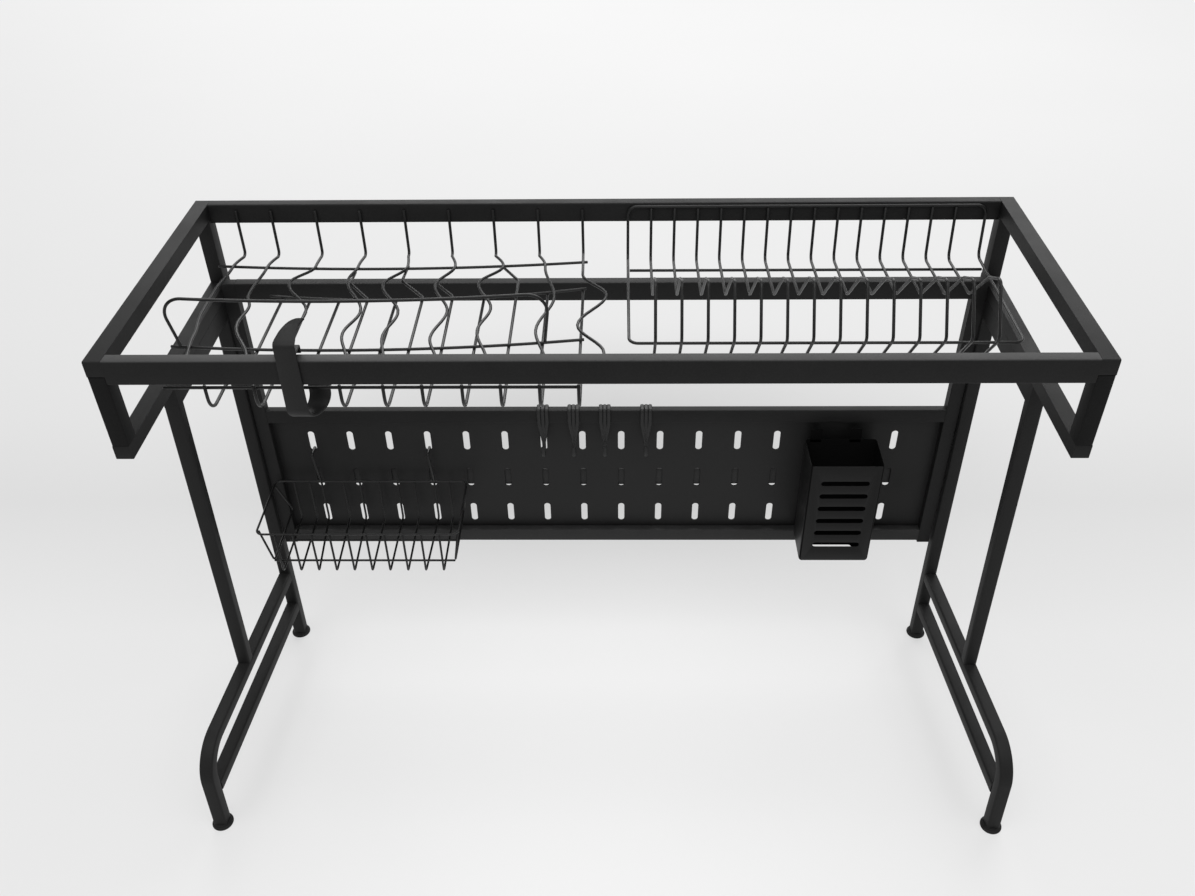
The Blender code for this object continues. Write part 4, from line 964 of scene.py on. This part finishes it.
band = {
    "width": 0.0180, "thickness": 0.002, "x": -0.2546, "drift": 0.50,
    "crest": 0.0165, "tipBack": 0.0255, "tipTop": 0.0255, "finSteps": 24, "finEase": 1.4,
    "fin": (     # how far back, and its left and right edges there
        (-0.0023, -0.2636, -0.2456), (0.0020, -0.2636, -0.2456), (0.0070, -0.2622, -0.2460), (0.0115, -0.2608, -0.2462),
        (0.0150, -0.2592, -0.2459), (0.0190, -0.2568, -0.2452), (0.0215, -0.2548, -0.2443), (0.0235, -0.2522, -0.2433),
        (0.0249, -0.2490, -0.2424), (0.0255, -0.2450, -0.2420),
    ),
    "driftTop": 0.031, "degrees": 6,
    "bottom": 0.060, "back": 0.0255, "backTop": 0.032, "fold": 0.004, "curl": 0.0128, "edge": (0.0006, 2),
    "tongueBack": 0.0133, "tongueTop": 0.0075, "tongueBend": 0.0016, "tongueNarrower": 0.0012, "tongueFoot": 0.0004,
}


def tabled(rows, at, column):
    for first, second in zip(rows, rows[1:]):
        if at <= second[0]:
            share = max((at - first[0]) / (second[0] - first[0]), 0)
            return first[column] + (second[column] - first[column]) * share
    return rows[-1][column]


def buildBandHook():
    b = band
    front = -rackSize["gap"] - b["thickness"] / 2
    slope = (b["tipTop"] - b["crest"]) / (b["tipBack"] - front)
    corners = [((0, b["tipBack"], b["tipTop"]), 0)]
    for step in range(1, b["finSteps"]):
        y = b["tipBack"] + (front + b["fold"] - b["tipBack"]) * (step / b["finSteps"]) ** b["finEase"]
        corners.append(((0, y, b["crest"] + (y - front) * slope), 0))
    corners += [((0, front, b["crest"]), b["fold"]), ((0, front, -b["bottom"]), b["curl"]),
                ((0, b["back"], -b["bottom"]), b["curl"]), ((0, b["back"], -b["backTop"]), 0)]
    section = roundedSection(b["width"], b["thickness"], *b["edge"])
    verts, faces = sweep(bent(corners, b["degrees"]), section, side=sideways)
    out = []
    for v in verts:
        if v.z > b["crest"] - b["fold"]:
            left, right = tabled(b["fin"], v.y, 1), tabled(b["fin"], v.y, 2)
            x = (left + right) / 2 + v.x / b["width"] * (right - left)
        else:
            x = b["x"] + v.x + (b["drift"] * (v.y - front) if v.z < -b["driftTop"] else 0)
        out.append(place(x, v.y, v.z))
    tongue = bent([((b["x"], front, b["tongueTop"]), 0), ((b["x"], b["tongueBack"], b["tongueTop"]), b["tongueBend"]),
                   ((b["x"], b["tongueBack"], b["tongueFoot"]), 0)])
    section = roundedSection(b["width"] - b["tongueNarrower"], b["thickness"], *b["edge"])
    makePiece("band_hook", [(out, faces), sweep(placed(tongue), section, side=sideways)], "sheetCoat", sharpAngle=40)


buildBandHook()
print("band hook made")


# floor, light and camera

studio = {
    "floorSize": 24.0, "floorGrey": 0.25, "floorShade": 0.97, "cloud": (1.2, 2.0), "cloudRange": (0.3, 0.7),
    "floorRoughness": 0.9, "floorSpecular": 0.1, "nearY": -0.3, "farY": 3.3,
    "floorGlow": (     # how far back, as a share from nearY to farY, and the glow there
        (0.0, 0.500), (0.12, 0.468), (0.197, 0.385), (0.26, 0.428), (0.35, 0.455), (0.5, 0.476),
        (0.68, 0.512), (0.83, 0.560), (1.0, 0.630),
    ),
    "pools": (          # centre, reach sideways and back, and the glow added there: a painted pool of light on the floor in front, and a painted shadow of the panel behind it
        ((0.0, -0.25, 0.0), (0.75, 0.75, 1.0), 0.13),
        ((0.0, 0.58, 0.0), (0.85, 0.40, 1.0), -0.15),
    ),
    "skyStrength": 0.50,
    "softboxes": (     # place, aimed at, size, power
        ((0.35, 2.7, 2.6), (0.0, 0.1, 0.6), (4.6, 2.2), 118),
        ((0.0, -1.6, 3.6), (0.0, -1.0, 0.0), (6.0, 3.2), 120),
    ),
}


def lengthTo(start, places, centre, reach):
    away = start.node("ShaderNodeVectorMath", {"operation": "SUBTRACT"}, {0: places, 1: centre})
    away = start.node("ShaderNodeVectorMath", {"operation": "DIVIDE"}, {0: away, 1: reach})
    return start.node("ShaderNodeVectorMath", {"operation": "LENGTH"}, {0: away}, 1)


def buildStudio():
    half = studio["floorSize"] / 2
    mesh = bpy.data.meshes.new("studioFloor")
    mesh.from_pydata([(-half, -half, 0), (half, -half, 0), (half, half, 0), (-half, half, 0)], [], [(0, 1, 2, 3)])
    floor = linked("studioFloor", mesh)
    material, shader, start, places = startMaterial("paleFloor")
    cloud, base = noiseAt(start, places, *studio["cloud"]), studio["floorGrey"]
    colour = cloud.between(*studio["cloudRange"]).blend(grey(base * studio["floorShade"]), grey(base))
    back = start.node("ShaderNodeSeparateXYZ", inputs={0: places}, output=1).between(studio["nearY"], studio["farY"])
    glow = back.node("ShaderNodeValToRGB", {"stops": [(p, grey(g)) for p, g in studio["floorGlow"]]}, {0: back})
    for centre, reach, strength in studio["pools"]:
        near = start.node("ShaderNodeMapRange", {"interpolation_type": "SMOOTHSTEP"},
                          {0: lengthTo(start, places, centre, reach), 1: 0.0, 2: 1.0, 3: 1.0, 4: 0.0})
        kind = "ADD" if strength > 0 else "SUBTRACT"
        amount = (near * abs(strength)).blend(grey(0), grey(1))
        glow = start.node("ShaderNodeMix", {"data_type": "RGBA", "blend_type": kind}, {0: 1.0, 6: glow, 7: amount}, 2)
    start.feed(shader, {"Base Color": colour, "Emission Color": glow, "Emission Strength": 1.0,
                        "Roughness": studio["floorRoughness"], "Specular IOR Level": studio["floorSpecular"]})
    mesh.materials.append(material)
    world = bpy.data.worlds.new("softSky")
    world.use_nodes = True
    sky = world.node_tree.nodes["Background"]
    sky.inputs["Color"].default_value = grey(1)
    sky.inputs["Strength"].default_value = studio["skyStrength"]
    bpy.context.scene.world = world
    for number, (spot, aim, size, power) in enumerate(studio["softboxes"], 1):
        data = bpy.data.lights.new(f"softbox{number}", "AREA")
        data.shape, data.energy = "RECTANGLE", power
        data.size, data.size_y = size
        lamp = linked(f"softbox{number}", data)
        lamp.location = spot
        lamp.rotation_euler = (Vector(aim) - Vector(spot)).to_track_quat("-Z", "Y").to_euler()
    bpy.context.scene.view_settings.view_transform = "Standard"


cameraFit = {
    "imageWidth": 1195, "imageHeight": 896,
    "focalPixels": 1082.88, "centre": (603.25, 440.33),
    "pitch": 37.70, "yaw": 1.133, "roll": 0.764,
    "place": (0.01836, -0.73906, 0.48944), "sensor": 36, "clipStart": 0.01,
}


def spin(angle):
    return Matrix(((math.cos(angle), -math.sin(angle), 0), (math.sin(angle), math.cos(angle), 0), (0, 0, 1)))


def buildCamera():
    c, width = cameraFit, cameraFit["imageWidth"]
    pitch, yaw, roll = (math.radians(c[angle]) for angle in ("pitch", "yaw", "roll"))
    look = Matrix(((1, 0, 0), (0, math.sin(pitch), math.cos(pitch)), (0, math.cos(pitch), -math.sin(pitch))))
    view = spin(roll) @ (look @ spin(yaw).transposed())
    data = bpy.data.cameras.new("photoView")
    camera = linked("photoView", data)
    rows = Matrix((view[0], view[1], -view[2])).transposed()
    camera.matrix_world = Matrix.Translation(place(*c["place"])) @ rows.to_4x4()
    data.sensor_fit, data.sensor_width = "HORIZONTAL", c["sensor"]
    data.lens = c["focalPixels"] / width * c["sensor"]
    data.shift_x = (width / 2 - c["centre"][0]) / width
    data.shift_y = (c["centre"][1] - c["imageHeight"] / 2) / width
    data.clip_start = c["clipStart"]
    bpy.context.scene.camera = camera


buildStudio()
buildCamera()
print("studio and camera ready")
